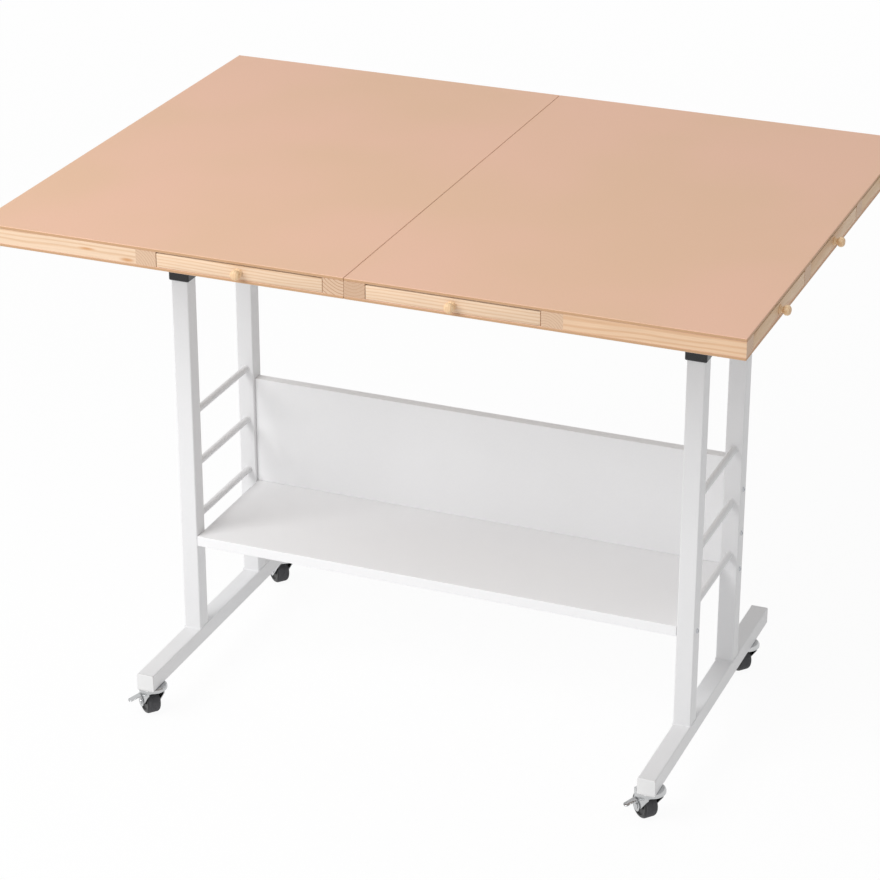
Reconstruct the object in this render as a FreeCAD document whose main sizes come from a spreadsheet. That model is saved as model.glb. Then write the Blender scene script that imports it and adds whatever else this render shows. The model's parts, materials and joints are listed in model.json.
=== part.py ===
"""Folding puzzle table on a rolling stand of adjustable height.

The top is two hollow halves that meet at a seam and fold together about it. Each half is a pine frame
between two thin boards, with a drawer in its front edge, and the right half has three more in its outer
edge. The left half is screwed to the head plate of a sliding inner frame, and the right half lies on the
other one. Both inner frames slide in the posts of the stand, which rolls on four swivelling casters.

Millimetres, +Z up, the front edge faces -Y. The origin is on the floor below the middle of the part's box.
"""
import FreeCAD, Part
import math
import os
from types import SimpleNamespace

import Sketcher

DIMENSIONS = {
    # Folding top, lying flat
    "top_width": 1020,
    "top_depth": 770,
    "table_height": 770,
    "board_thick": 4,
    "frame_thick": 20,
    "rail_width": 28,
    "front_bay_width": 228,
    "seam_gap": 0.5,
    "fold_gap": 0.5,
    "edge_ease": 0.6,
    # Drawers
    "front_drawer_depth": 380,
    "drawer_side_gap": 0.75,
    "drawer_top_gap": 1.5,
    "drawer_floor_gap": 0.25,
    "drawer_back_gap": 4,
    "drawer_front_thick": 12,
    "drawer_wall": 6,
    "drawer_floor_thick": 2.5,
    "drawer_side_drop": 2,
    # Turned drawer knobs
    "knob_reach": 14,
    "knob_head_dia": 13,
    "knob_head_length": 8,
    "knob_head_round": 4,
    "knob_back_round": 2.5,
    "knob_waist_dia": 7.5,
    "knob_flange_dia": 11.5,
    "knob_flange_thick": 2,
    # Concealed hinges in the seam rails, with crescent links
    "hinge_pitch": 290,
    "hinge_length": 24,
    "hinge_wall": 2,
    "hinge_lip": 5,
    "link_drop": 9,
    "link_inset": 3,
    "link_bow": 6,
    "link_width": 2.5,
    "link_thick": 6,
    "link_boss_dia": 4,
    "link_end_dia": 3.2,
    "link_pin_dia": 2,
    "link_room": 0.3,
    # Leg frames of the stand
    "stand_width": 760,
    "stand_depth": 220,
    "post_side": 25,
    "tube_wall": 1.5,
    "tube_round": 2,
    "foot_length": 520,
    "plug_flange": 2,
    "plug_tongue": 8,
    "bar_dia": 10,
    "bar_low": 242,
    "bar_pitch": 80,
    # Collars on the posts, and their clamping knobs
    "collar_low": 610,
    "collar_height": 40,
    "collar_sleeve": 15,
    "collar_wall": 2.5,
    "collar_round": 2.2,
    "clamp_height": 28,
    "clamp_screw_dia": 6,
    "clamp_head_dia": 20,
    "clamp_head_length": 12,
    "clamp_neck_dia": 12,
    "clamp_neck_length": 3,
    "clamp_scallop_dia": 8,
    "clamp_scallop_depth": 1.5,
    "clamp_tip_gap": 0.2,
    # Sliding inner frames
    "inner_side": 20,
    "inner_length": 316,
    "inner_wall": 1.2,
    "inner_round": 1.5,
    "slide_gap": 0.1,
    "head_plate_width": 40,
    "head_plate_length": 500,
    "head_plate_thick": 4,
    # Shelf and back panel
    "shelf_top": 224,
    "shelf_thick": 15,
    "panel_height": 163,
    "panel_thick": 15,
    "panel_screw_inset": 48,
    # Screws
    "screw_dia": 4,
    "screw_head_dia": 7,
    "screw_head_thick": 2,
    "screw_bite": 25,
    "head_screw_bite": 12,
    "head_screw_spread": 24,
    # Casters
    "caster_height": 50,
    "front_caster_inset": 22,
    "rear_caster_inset": 67,
    "caster_swing": 40,
    "caster_trail": 13,
    "wheel_dia": 38,
    "wheel_width": 20,
    "wheel_round": 4.2,
    "wheel_rim": 5.5,
    "wheel_web_inset": 2,
    "hub_dia": 11,
    "hub_length": 21.4,
    "axle_dia": 5,
    "axle_head_dia": 8,
    "axle_head_thick": 1.2,
    "fork_gap": 22,
    "fork_sheet": 1.5,
    "fork_boss_dia": 14,
    "fork_back": 13,
    "fork_shoulder": 4,
    "fork_nose": 9,
    "fork_round": 5,
    "fork_crown_dia": 36,
    "fork_crown_thick": 3,
    "race_dia": 41,
    "race_thick": 3.7,
    "race_skirt": 1.8,
    "race_skirt_wall": 1.5,
    "race_gap": 0.3,
    "stem_dia": 8,
    "stem_length": 12,
    "stem_head_dia": 12,
    "stem_head_thick": 2,
    "nut_corner_dia": 15,
    "nut_thick": 6.5,
    "brake_sheet": 1.2,
    "brake_ear_dia": 15,
    "brake_pedal_reach": 18,
    "brake_pedal_width": 9,
    "brake_pedal_rise": 10,
    "brake_pedal_drop": 5.5,
    "brake_pedal_round": 3,
    "brake_gap": 0.3,
    # Clearance of pins and screws that turn in a hole
    "running_gap": 0.05,
}

LEFT, RIGHT = -1, 1
SIDE_NAME = {LEFT: "left", RIGHT: "right"}
FRONT_ROW, REAR_ROW = -1, 1
SIDE_DRAWERS = 3
SIDE_BARS = 3
CLAMP_SCALLOPS = 6
ALONG_X = (FreeCAD.Vector(0, 1, 0), 90)
AGAINST_X = (FreeCAD.Vector(0, 1, 0), -90)
ALONG_Y = (FreeCAD.Vector(1, 0, 0), -90)


class Size:
    """A length with its number and the sheet expression that it comes from."""

    def __init__(self, number, text):
        self.number = float(number)
        self.text = text

    @staticmethod
    def of(value):
        return value if isinstance(value, Size) else Size(value, str(value))

    def __add__(self, other):
        other = Size.of(other)
        return Size(self.number + other.number, f"({self.text} + {other.text})")

    def __sub__(self, other):
        other = Size.of(other)
        return Size(self.number - other.number, f"({self.text} - {other.text})")

    def __mul__(self, other):
        other = Size.of(other)
        return Size(self.number * other.number, f"({self.text} * {other.text})")

    def __truediv__(self, other):
        other = Size.of(other)
        return Size(self.number / other.number, f"({self.text} / {other.text})")

    def __neg__(self):
        return Size(-self.number, f"(0 - {self.text})")

    def __radd__(self, other):
        return Size.of(other) + self

    def __rsub__(self, other):
        return Size.of(other) - self

    def __rmul__(self, other):
        return Size.of(other) * self


doc = FreeCAD.newDocument("PuzzleTable")
nodes = {}


def make_sheet():
    """Write the driving dimensions to the sheet and return them as sizes."""
    sheet = doc.addObject("Spreadsheet::Sheet", "Sizes")
    sizes = SimpleNamespace()
    for row, (name, value) in enumerate(DIMENSIONS.items(), start=1):
        sheet.set(f"A{row}", name)
        sheet.set(f"B{row}", str(value))
        sheet.setAlias(f"B{row}", name)
        setattr(sizes, name, Size(value, f"Sizes.{name}"))
    doc.recompute()
    return sizes


size = make_sheet()

# Levels and places that several pieces share
MID_X = -size.knob_reach / 2
MID_Y = size.knob_reach / 2
FRONT = MID_Y - size.top_depth / 2
BACK = MID_Y + size.top_depth / 2
HALF = size.top_width / 2
TOP = size.table_height
FRAME_TOP = TOP - size.board_thick
FRAME_LOW = FRAME_TOP - size.frame_thick
UNDERSIDE = FRAME_LOW - size.board_thick
FOLD_Z = TOP + size.fold_gap / 2
SEAM = size.seam_gap / 2
DIVIDER_IN = size.rail_width + size.front_bay_width
DIVIDER_OUT = DIVIDER_IN + size.rail_width
SIDE_BAY = (size.top_depth - (SIDE_DRAWERS + 1) * size.rail_width) / SIDE_DRAWERS
BAY_PITCH = SIDE_BAY + size.rail_width
POST_OUT = size.stand_width / 2 - size.post_side / 2
POST_X = {LEFT: MID_X - POST_OUT, RIGHT: MID_X + POST_OUT}
STAND_EDGE = {LEFT: MID_X - size.stand_width / 2, RIGHT: MID_X + size.stand_width / 2}
POST_Y = size.stand_depth / 2 - size.post_side / 2
FOOT_LOW = size.caster_height
FOOT_TOP = FOOT_LOW + size.post_side
POST_TOP = size.collar_low + size.collar_sleeve
PLATE_LOW = UNDERSIDE - size.head_plate_thick


def bind(thing, **sizes):
    """Bind properties of a document object to sheet expressions."""
    for name, value in sizes.items():
        thing.setExpression(name, Size.of(value).text)
    return thing


def place(thing, x=0, y=0, z=0, turn=None, angle=None):
    """Put an object at a bound place, turned by (axis, degrees), or about Z by a bound angle."""
    if turn:
        thing.Placement = FreeCAD.Placement(FreeCAD.Vector(), FreeCAD.Rotation(*turn))
    if angle is not None:
        start = FreeCAD.Rotation(FreeCAD.Vector(0, 0, 1), Size.of(angle).number)
        thing.Placement = FreeCAD.Placement(FreeCAD.Vector(), start)
        thing.setExpression("Placement.Rotation.Angle", Size.of(angle).text)
    for axis, value in (("x", x), ("y", y), ("z", z)):
        thing.setExpression(f"Placement.Base.{axis}", Size.of(value).text)
    return thing


def node(label, thing):
    """Give a finished sub-part its label and list it for export."""
    thing.Label = label
    nodes[label] = thing
    return thing


def span(side, near, far):
    """The X span from near to far, on the right of the seam or mirrored to its left."""
    return (MID_X + near, MID_X + far) if side == RIGHT else (MID_X - far, MID_X - near)


def block(x, y, z):
    """A plain block between three pairs of limits."""
    thing = doc.addObject("Part::Box", "Block")
    bind(thing, Length=x[1] - x[0], Width=y[1] - y[0], Height=z[1] - z[0])
    return place(thing, x[0], y[0], z[0])


def cylinder(dia, length, x, y, z, turn=None):
    """A round bar that starts at a point and runs up, or along the axis that turn gives."""
    thing = bind(doc.addObject("Part::Cylinder", "Round"), Radius=dia / 2, Height=length)
    return place(thing, x, y, z, turn)


def group(things):
    """Separate solids kept together as one sub-part."""
    thing = doc.addObject("Part::Compound", "Group")
    thing.Links = things
    return thing


def cut(base, tools):
    """A piece with other shapes taken out of it."""
    thing = doc.addObject("Part::Cut", "Cut")
    thing.Base = base
    thing.Tool = group(tools)
    return thing


def fuse(things):
    """Shapes joined to one solid."""
    thing = doc.addObject("Part::MultiFuse", "Joined")
    thing.Shapes = things
    return thing


def common(base, tool):
    """What two shapes share."""
    thing = doc.addObject("Part::Common", "Shared")
    thing.Base = base
    thing.Tool = tool
    return thing


def edges_where(feature, test):
    """Names of the edges of a feature that pass a test."""
    return [f"Edge{i}" for i, edge in enumerate(feature.Shape.Edges, start=1) if test(edge)]


def fillet(body, base, radius, test):
    """Round the edges of a body's last feature that pass a test."""
    doc.recompute()
    rounded = bind(body.newObject("PartDesign::Fillet", "Fillet"), Radius=radius)
    rounded.Base = (base, edges_where(base, test))
    return rounded


def is_ring(edge, radius, level):
    """Whether an edge is a full circle of this radius about Y, at this Y level."""
    curve = edge.Curve
    return (isinstance(curve, Part.Circle) and abs(curve.Radius - radius.number) < 1e-6
            and abs(curve.Center.y - level.number) < 1e-6)


def is_cross_edge(edge, x, z):
    """Whether an edge runs along Y through this X and Z."""
    return all(abs(v.X - x.number) < 1e-6 and abs(v.Z - z.number) < 1e-6 for v in edge.Vertexes)


def is_upright_edge(edge, y):
    """Whether an edge runs along Z at this Y."""
    return (all(abs(v.Y - y.number) < 1e-6 for v in edge.Vertexes)
            and abs(edge.Vertexes[0].X - edge.Vertexes[-1].X) < 1e-6)


def outline(body, plane, corners):
    """A sketch on an origin plane, closed through corners whose places are bound to sizes."""
    sketch = body.newObject("Sketcher::SketchObject", "Outline")
    support = next(f for f in body.Origin.OriginFeatures if f.Role == plane)
    sketch.AttachmentSupport = [(support, "")]
    sketch.MapMode = "FlatFace"
    corners = [(Size.of(x), Size.of(y)) for x, y in corners]
    points = [FreeCAD.Vector(x.number, y.number, 0) for x, y in corners]
    count = len(points)
    for i in range(count):
        sketch.addGeometry(Part.LineSegment(points[i], points[(i + 1) % count]))
    for i in range(count):
        sketch.addConstraint(Sketcher.Constraint("Coincident", i, 2, (i + 1) % count, 1))
    for i, (x, y) in enumerate(corners):
        for kind, value in (("DistanceX", x), ("DistanceY", y)):
            index = sketch.addConstraint(Sketcher.Constraint(kind, -1, 1, i, 1, value.number))
            sketch.setExpression(f"Constraints[{index}]", value.text)
    return sketch


def revolved(corners, plane):
    """A body turned about the upright axis of its sketch plane."""
    body = doc.addObject("PartDesign::Body", "Turned")
    sketch = outline(body, plane, corners)
    turned = body.newObject("PartDesign::Revolution", "Revolution")
    turned.Profile = sketch
    turned.ReferenceAxis = (sketch, ["V_Axis"])
    turned.Angle = 360
    return body, turned


def eased_board(x, y, z):
    """A board with a small chamfer on every edge."""
    body = doc.addObject("PartDesign::Body", "Board")
    solid = bind(body.newObject("PartDesign::AdditiveBox", "Stock"),
                 Length=x[1] - x[0], Width=y[1] - y[0], Height=z[1] - z[0])
    doc.recompute()
    eased = bind(body.newObject("PartDesign::Chamfer", "Eased"), Size=size.edge_ease)
    eased.Base = (solid, ["Edge1"])
    eased.UseAllEdges = True
    return place(body, x[0], y[0], z[0])


def square_bar(side, length, round_edge, wall=None):
    """A square bar along its own Z, with rounded long edges, and hollow if it has a wall."""
    body = doc.addObject("PartDesign::Body", "Bar")
    solid = bind(body.newObject("PartDesign::AdditiveBox", "Stock"), Length=side, Width=side, Height=length)
    place(solid, -side / 2, -side / 2)
    fillet(body, solid, round_edge, lambda e: abs(e.tangentAt(e.FirstParameter).z) > 0.5)
    if wall is not None:
        inside = side - 2 * wall
        hollow = bind(body.newObject("PartDesign::SubtractiveBox", "Hollow"),
                      Length=inside, Width=inside, Height=length)
        place(hollow, -inside / 2, -inside / 2)
    return body


def screw(x, y, z, bite, turn=None):
    """A pan-head screw whose head sits on a face at a point and whose shank runs on into the work."""
    head = cylinder(size.screw_head_dia, size.screw_head_thick, 0, 0, -size.screw_head_thick)
    shank = cylinder(size.screw_dia, bite, 0, 0, 0)
    return place(fuse([head, shank]), x, y, z, turn)


# Folding top
def hinge_places():
    """Middles of the concealed hinges along the seam."""
    return [MID_Y + k * size.hinge_pitch for k in (-1, 0, 1)]


LINK_LENGTH = 2 * size.link_drop
SLOT_HIGH = FOLD_Z - size.hinge_lip
SLOT_LOW = FOLD_Z - size.link_drop - size.link_bow - size.link_width / 2 - size.link_room
SLOT_DEEP = LINK_LENGTH - size.link_inset + size.link_end_dia / 2 + size.link_room
HINGE_DEEP = SLOT_DEEP + size.hinge_wall
HINGE_LOW = SLOT_LOW - size.hinge_wall
PIVOT_X = MID_X - size.link_inset
PIVOT_Z = FOLD_Z - size.link_drop


def hinge_body(side, y):
    """The steel case of one concealed hinge, let into a seam rail, with a slot for the link."""
    ends = (y - size.hinge_length / 2, y + size.hinge_length / 2)
    slot_half = size.link_thick / 2 + size.link_room
    case = block(span(side, SEAM, SEAM + HINGE_DEEP), ends, (HINGE_LOW, FRAME_TOP))
    slot = block(span(side, 0, SLOT_DEEP), (y - slot_half, y + slot_half), (SLOT_LOW, SLOT_HIGH))
    hollow = cut(case, [slot])
    if side == RIGHT:
        return hollow
    pin = cylinder(size.link_pin_dia, size.hinge_length, PIVOT_X, ends[0], PIVOT_Z, ALONG_Y)
    return fuse([hollow, pin])


def hinge_link(y):
    """The crescent link of one hinge: a bowed arm from its pivot to the end that slides in the right case."""
    start = y - size.link_thick / 2
    bow_radius = (size.link_drop * size.link_drop + size.link_bow * size.link_bow) / (2 * size.link_bow)
    middle_x = PIVOT_X + size.link_drop
    middle_z = PIVOT_Z - size.link_bow + bow_radius
    disc = cylinder(2 * bow_radius + size.link_width, size.link_thick, middle_x, start, middle_z, ALONG_Y)
    core = cylinder(2 * bow_radius - size.link_width, size.link_thick, middle_x, start, middle_z, ALONG_Y)
    below = block((middle_x - 2 * bow_radius, middle_x + 2 * bow_radius), (start, start + size.link_thick),
                  (PIVOT_Z - 2 * bow_radius, PIVOT_Z))
    arm = common(cut(disc, [core]), below)
    boss = cylinder(size.link_boss_dia, size.link_thick, PIVOT_X, start, PIVOT_Z, ALONG_Y)
    end = cylinder(size.link_end_dia, size.link_thick, PIVOT_X + LINK_LENGTH, start, PIVOT_Z, ALONG_Y)
    bore_dia = size.link_pin_dia + 2 * size.running_gap
    bore = cylinder(bore_dia, size.link_thick, PIVOT_X, start, PIVOT_Z, ALONG_Y)
    return cut(fuse([arm, boss, end]), [bore])


def head_screw_places():
    """Where the left head plate is screwed to the two inner cross rails of the left half."""
    return [(POST_X[LEFT] + k * size.head_screw_spread / 2, FRONT + i * BAY_PITCH + size.rail_width / 2)
            for i in (1, 2) for k in (LEFT, RIGHT)]


def head_screw_holes(base):
    """A piece of the left half or its head plate with the holes of the head screws."""
    bite = size.head_plate_thick + size.board_thick + size.head_screw_bite
    return cut(base, [cylinder(size.screw_dia, bite, x, y, PLATE_LOW) for x, y in head_screw_places()])


def make_half(side):
    """Boards, rails and hinge cases of one half of the top."""
    name = SIDE_NAME[side]
    depth = (FRONT, BACK)
    level = (FRAME_LOW, FRAME_TOP)
    node(f"top_board_{name}", eased_board(span(side, SEAM, HALF), depth, (FRAME_TOP, TOP)))
    bottom = eased_board(span(side, SEAM, HALF), depth, (UNDERSIDE, FRAME_LOW))
    inner_end = HALF if side == RIGHT else HALF - size.rail_width
    cross = group([block(span(side, DIVIDER_OUT, HALF if i in (0, SIDE_DRAWERS) else inner_end),
                         (FRONT + i * BAY_PITCH, FRONT + i * BAY_PITCH + size.rail_width), level)
                   for i in range(SIDE_DRAWERS + 1)])
    if side == LEFT:
        bottom, cross = head_screw_holes(bottom), head_screw_holes(cross)
        between = (FRONT + size.rail_width, BACK - size.rail_width)
        node("side_rail_left", block(span(side, inner_end, HALF), between, level))
    node(f"bottom_board_{name}", bottom)
    node(f"cross_rails_{name}", cross)
    mortises = [block(span(side, SEAM, SEAM + HINGE_DEEP),
                      (y - size.hinge_length / 2, y + size.hinge_length / 2), (HINGE_LOW, FRAME_TOP))
                for y in hinge_places()]
    node(f"seam_rail_{name}", cut(block(span(side, SEAM, size.rail_width), depth, level), mortises))
    node(f"divider_rail_{name}", block(span(side, DIVIDER_IN, DIVIDER_OUT), depth, level))
    column = span(side, size.rail_width, DIVIDER_IN)
    stop = FRONT + size.front_drawer_depth + size.drawer_back_gap
    node(f"column_rails_{name}", group([block(column, (stop, stop + size.rail_width), level),
                                        block(column, (BACK - size.rail_width, BACK), level)]))
    node(f"hinge_cases_{name}", group([hinge_body(side, y) for y in hinge_places()]))


# Drawers
DRAWER_HIGH = size.frame_thick - size.drawer_top_gap - size.drawer_floor_gap
DRAWER_LOW = FRAME_LOW + size.drawer_floor_gap


def make_drawer(name, bay, depth, x, y, angle):
    """A drawer box of five boards and its knob. It is built facing -Y and turned to its edge of the top."""
    half = bay / 2 - size.drawer_side_gap
    inner = half - size.drawer_wall
    wall_high = DRAWER_HIGH - size.drawer_side_drop
    back_in = depth - size.drawer_wall
    behind = (size.drawer_front_thick, depth)
    box = group([
        eased_board((-half, half), (0, size.drawer_front_thick), (0, DRAWER_HIGH)),
        block((-half, -inner), behind, (0, wall_high)),
        block((inner, half), behind, (0, wall_high)),
        block((-inner, inner), (back_in, depth), (0, wall_high)),
        block((-inner, inner), (size.drawer_front_thick, back_in), (0, size.drawer_floor_thick)),
    ])
    node(f"drawer_{name}", place(box, x, y, DRAWER_LOW, angle=angle))
    node(f"knob_{name}", place(make_knob(), x, y, DRAWER_LOW + DRAWER_HIGH / 2, angle=angle))


def make_knob():
    """A turned knob: flange on the drawer front, waist and rounded head, along -Y."""
    head, waist, flange = size.knob_head_dia / 2, size.knob_waist_dia / 2, size.knob_flange_dia / 2
    neck = size.knob_reach - size.knob_head_length
    rim = size.knob_flange_thick
    reach = size.knob_reach
    body, turned = revolved([(0, 0), (flange, 0), (flange, -rim), (waist, -rim), (waist, -neck),
                             (head, -neck), (head, -reach), (0, -reach)], "XY_Plane")
    rounded = fillet(body, turned, size.knob_head_round, lambda e: is_ring(e, head, -reach))
    fillet(body, rounded, size.knob_back_round, lambda e: is_ring(e, head, -neck))
    return body


def make_drawers():
    """One drawer in the front edge of each half and three in the right edge."""
    for side in (LEFT, RIGHT):
        make_drawer(f"front_{SIDE_NAME[side]}", size.front_bay_width, size.front_drawer_depth,
                    MID_X + side * (size.rail_width + size.front_bay_width / 2), FRONT, 0)
    side_depth = HALF - DIVIDER_OUT - size.drawer_back_gap
    for i in range(SIDE_DRAWERS):
        middle = FRONT + size.rail_width + SIDE_BAY / 2 + i * BAY_PITCH
        make_drawer(f"right_{i + 1}", SIDE_BAY, side_depth, MID_X + HALF, middle, 90)


# Stand
def shelf_screw_rows(side):
    """Side, Y and Z of the screws through the posts of one side into the shelf and the back panel."""
    shelf_z = size.shelf_top - size.shelf_thick / 2
    panel_low = size.shelf_top + size.panel_screw_inset
    panel_high = size.shelf_top + size.panel_height - size.panel_screw_inset
    rear = MID_Y + POST_Y
    return [(side, MID_Y - POST_Y, shelf_z), (side, rear, shelf_z),
            (side, rear, panel_low), (side, rear, panel_high)]


SCREW_ROWS = shelf_screw_rows(LEFT) + shelf_screw_rows(RIGHT)
THROUGH_POST = size.post_side + size.screw_bite


def screw_holes(base):
    """A piece of the stand with the holes of the screws through the posts."""
    return cut(base, [cylinder(size.screw_dia, THROUGH_POST, STAND_EDGE[side], y, z,
                               AGAINST_X if side == RIGHT else ALONG_X) for side, y, z in SCREW_ROWS])


def caster_places():
    """Name, X and Y of the caster stems: near the front ends of the feet, further in at the rear."""
    front = MID_Y - size.foot_length / 2 + size.front_caster_inset
    rear = MID_Y + size.foot_length / 2 - size.rear_caster_inset
    return [(f"{row}_{SIDE_NAME[side]}", POST_X[side], y)
            for row, y in (("front", front), ("rear", rear)) for side in (LEFT, RIGHT)]


def make_leg_frame(side):
    """Foot tube and the two posts of one side, with the holes of the caster stems and of the screws."""
    name = SIDE_NAME[side]
    x = POST_X[side]
    tube_length = size.foot_length - 2 * size.plug_flange
    foot = place(square_bar(size.post_side, tube_length, size.tube_round, size.tube_wall),
                 x, MID_Y - tube_length / 2, FOOT_LOW + size.post_side / 2, ALONG_Y)
    stems = [cylinder(size.stem_dia, size.post_side / 2, px, py, FOOT_LOW) for _, px, py in caster_places()]
    node(f"foot_{name}", cut(foot, stems))
    posts = [place(square_bar(size.post_side, POST_TOP - FOOT_TOP, size.tube_round, size.tube_wall),
                   x, MID_Y + row * POST_Y, FOOT_TOP) for row in (FRONT_ROW, REAR_ROW)]
    node(f"posts_{name}", screw_holes(group(posts)))


def make_foot_plugs():
    """Flush plugs in the ends of the foot tubes."""
    inside = size.post_side / 2 - size.tube_wall
    middle_z = FOOT_LOW + size.post_side / 2
    plugs = []
    for x in POST_X.values():
        for end in (FRONT_ROW, REAR_ROW):
            outer = MID_Y + end * size.foot_length / 2
            inner = outer - end * size.plug_flange
            tip = inner - end * size.plug_tongue
            flange = place(square_bar(size.post_side, size.plug_flange, size.tube_round), x,
                           outer if end < 0 else inner, middle_z, ALONG_Y)
            tongue = block((x - inside, x + inside), (inner, tip) if end < 0 else (tip, inner),
                           (middle_z - inside, middle_z + inside))
            plugs.append(fuse([flange, tongue]))
    node("foot_plugs", group(plugs))


def make_side_bars():
    """Three round bars between the front and rear post of each side."""
    reach = POST_Y - size.post_side / 2
    bars = []
    for x in POST_X.values():
        for k in range(SIDE_BARS):
            level = size.bar_low + k * size.bar_pitch
            bars.append(cylinder(size.bar_dia, 2 * reach, x, MID_Y - reach, level, ALONG_Y))
    node("side_bars", group(bars))


def collar(side, x, y):
    """A moulded collar: a sleeve over the post's end, a guide for the inner post, a hole for the clamp."""
    outer = size.post_side + 2 * size.collar_wall
    guide = size.inner_side + 2 * size.slide_gap
    body = doc.addObject("PartDesign::Body", "Collar")
    stock = bind(body.newObject("PartDesign::AdditiveBox", "Stock"),
                 Length=outer, Width=outer, Height=size.collar_height)
    place(stock, -outer / 2, -outer / 2)
    top = size.collar_height.number
    fillet(body, stock, size.collar_round, lambda e: min(v.Z for v in e.Vertexes) < top - 1e-6)
    for width, height in ((guide, size.collar_height), (size.post_side, size.collar_sleeve)):
        hollow = body.newObject("PartDesign::SubtractiveBox", "Hollow")
        bind(hollow, Length=width, Width=width, Height=height)
        place(hollow, -width / 2, -width / 2)
    hole = bind(body.newObject("PartDesign::SubtractiveCylinder", "ClampHole"),
                Radius=size.clamp_screw_dia / 2 + size.running_gap, Height=outer)
    place(hole, 0, 0, size.clamp_height, ALONG_X if side == RIGHT else AGAINST_X)
    return place(body, x, y, size.collar_low)


def clamp_knob(side, x, y):
    """A clamping knob: a screw through the collar's outer wall and a scalloped head."""
    tip = size.inner_side / 2 + size.clamp_tip_gap
    neck = size.post_side / 2 + size.collar_wall + size.running_gap
    head_in = neck + size.clamp_neck_length
    head_out = head_in + size.clamp_head_length
    screw_r, neck_r, head_r = size.clamp_screw_dia / 2, size.clamp_neck_dia / 2, size.clamp_head_dia / 2
    body, _ = revolved([(0, tip), (screw_r, tip), (screw_r, neck), (neck_r, neck), (neck_r, head_in),
                        (head_r, head_in), (head_r, head_out), (0, head_out)], "XZ_Plane")
    scallop = bind(body.newObject("PartDesign::SubtractiveCylinder", "Scallop"),
                   Radius=size.clamp_scallop_dia / 2, Height=size.clamp_head_length)
    place(scallop, head_r + size.clamp_scallop_dia / 2 - size.clamp_scallop_depth, 0, head_in)
    doc.recompute()
    around = body.newObject("PartDesign::PolarPattern", "Scallops")
    around.Originals = [scallop]
    around.Axis = (next(f for f in body.Origin.OriginFeatures if f.Role == "Z_Axis"), [""])
    around.Angle = 360
    around.Occurrences = CLAMP_SCALLOPS
    body.Tip = around
    return place(body, x, y, size.collar_low + size.clamp_height, ALONG_X if side == RIGHT else AGAINST_X)


def make_collars():
    """Collars on the four posts and the knobs that clamp the inner posts."""
    collars = []
    for side in (LEFT, RIGHT):
        for row, row_name in ((FRONT_ROW, "front"), (REAR_ROW, "rear")):
            x, y = POST_X[side], MID_Y + row * POST_Y
            collars.append(collar(side, x, y))
            node(f"clamp_knob_{row_name}_{SIDE_NAME[side]}", clamp_knob(side, x, y))
    node("collars", group(collars))


def make_inner_frame(side):
    """Two sliding posts welded under a flat head plate."""
    x = POST_X[side]
    half_width, half_length = size.head_plate_width / 2, size.head_plate_length / 2
    plate = block((x - half_width, x + half_width), (MID_Y - half_length, MID_Y + half_length),
                  (PLATE_LOW, UNDERSIDE))
    posts = [place(square_bar(size.inner_side, size.inner_length, size.inner_round, size.inner_wall),
                   x, MID_Y + row * POST_Y, PLATE_LOW - size.inner_length) for row in (FRONT_ROW, REAR_ROW)]
    plate = head_screw_holes(plate) if side == LEFT else plate
    node(f"inner_frame_{SIDE_NAME[side]}", group([*posts, plate]))


def make_shelf():
    """Shelf between the leg frames, the back panel that stands on it, and their screws."""
    inside = (STAND_EDGE[LEFT] + size.post_side, STAND_EDGE[RIGHT] - size.post_side)
    depth = (MID_Y - size.stand_depth / 2, MID_Y + size.stand_depth / 2)
    panel_y = (MID_Y + POST_Y - size.panel_thick / 2, MID_Y + POST_Y + size.panel_thick / 2)
    shelf_z = (size.shelf_top - size.shelf_thick, size.shelf_top)
    panel_z = (size.shelf_top, size.shelf_top + size.panel_height)
    node("shelf", screw_holes(eased_board(inside, depth, shelf_z)))
    node("back_panel", screw_holes(eased_board(inside, panel_y, panel_z)))
    node("stand_screws", group([screw(STAND_EDGE[side], y, z, THROUGH_POST,
                                      AGAINST_X if side == RIGHT else ALONG_X) for side, y, z in SCREW_ROWS]))
    bite = size.head_plate_thick + size.board_thick + size.head_screw_bite
    node("head_screws", group([screw(x, y, PLATE_LOW, bite) for x, y in head_screw_places()]))


# Casters, built with the wheel trailing along +X and turned about the stem
WHEEL_R = size.wheel_dia / 2
FORK_OUT = size.fork_gap / 2 + size.fork_sheet
RACE_LOW = FOOT_LOW - size.race_thick
CROWN_TOP = RACE_LOW - size.race_gap
FORK_TOP = CROWN_TOP - size.fork_crown_thick
FORK_ROOF = FORK_TOP - size.fork_sheet
AXLE_OUT = FORK_OUT + size.brake_gap + size.brake_sheet + size.brake_gap


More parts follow.
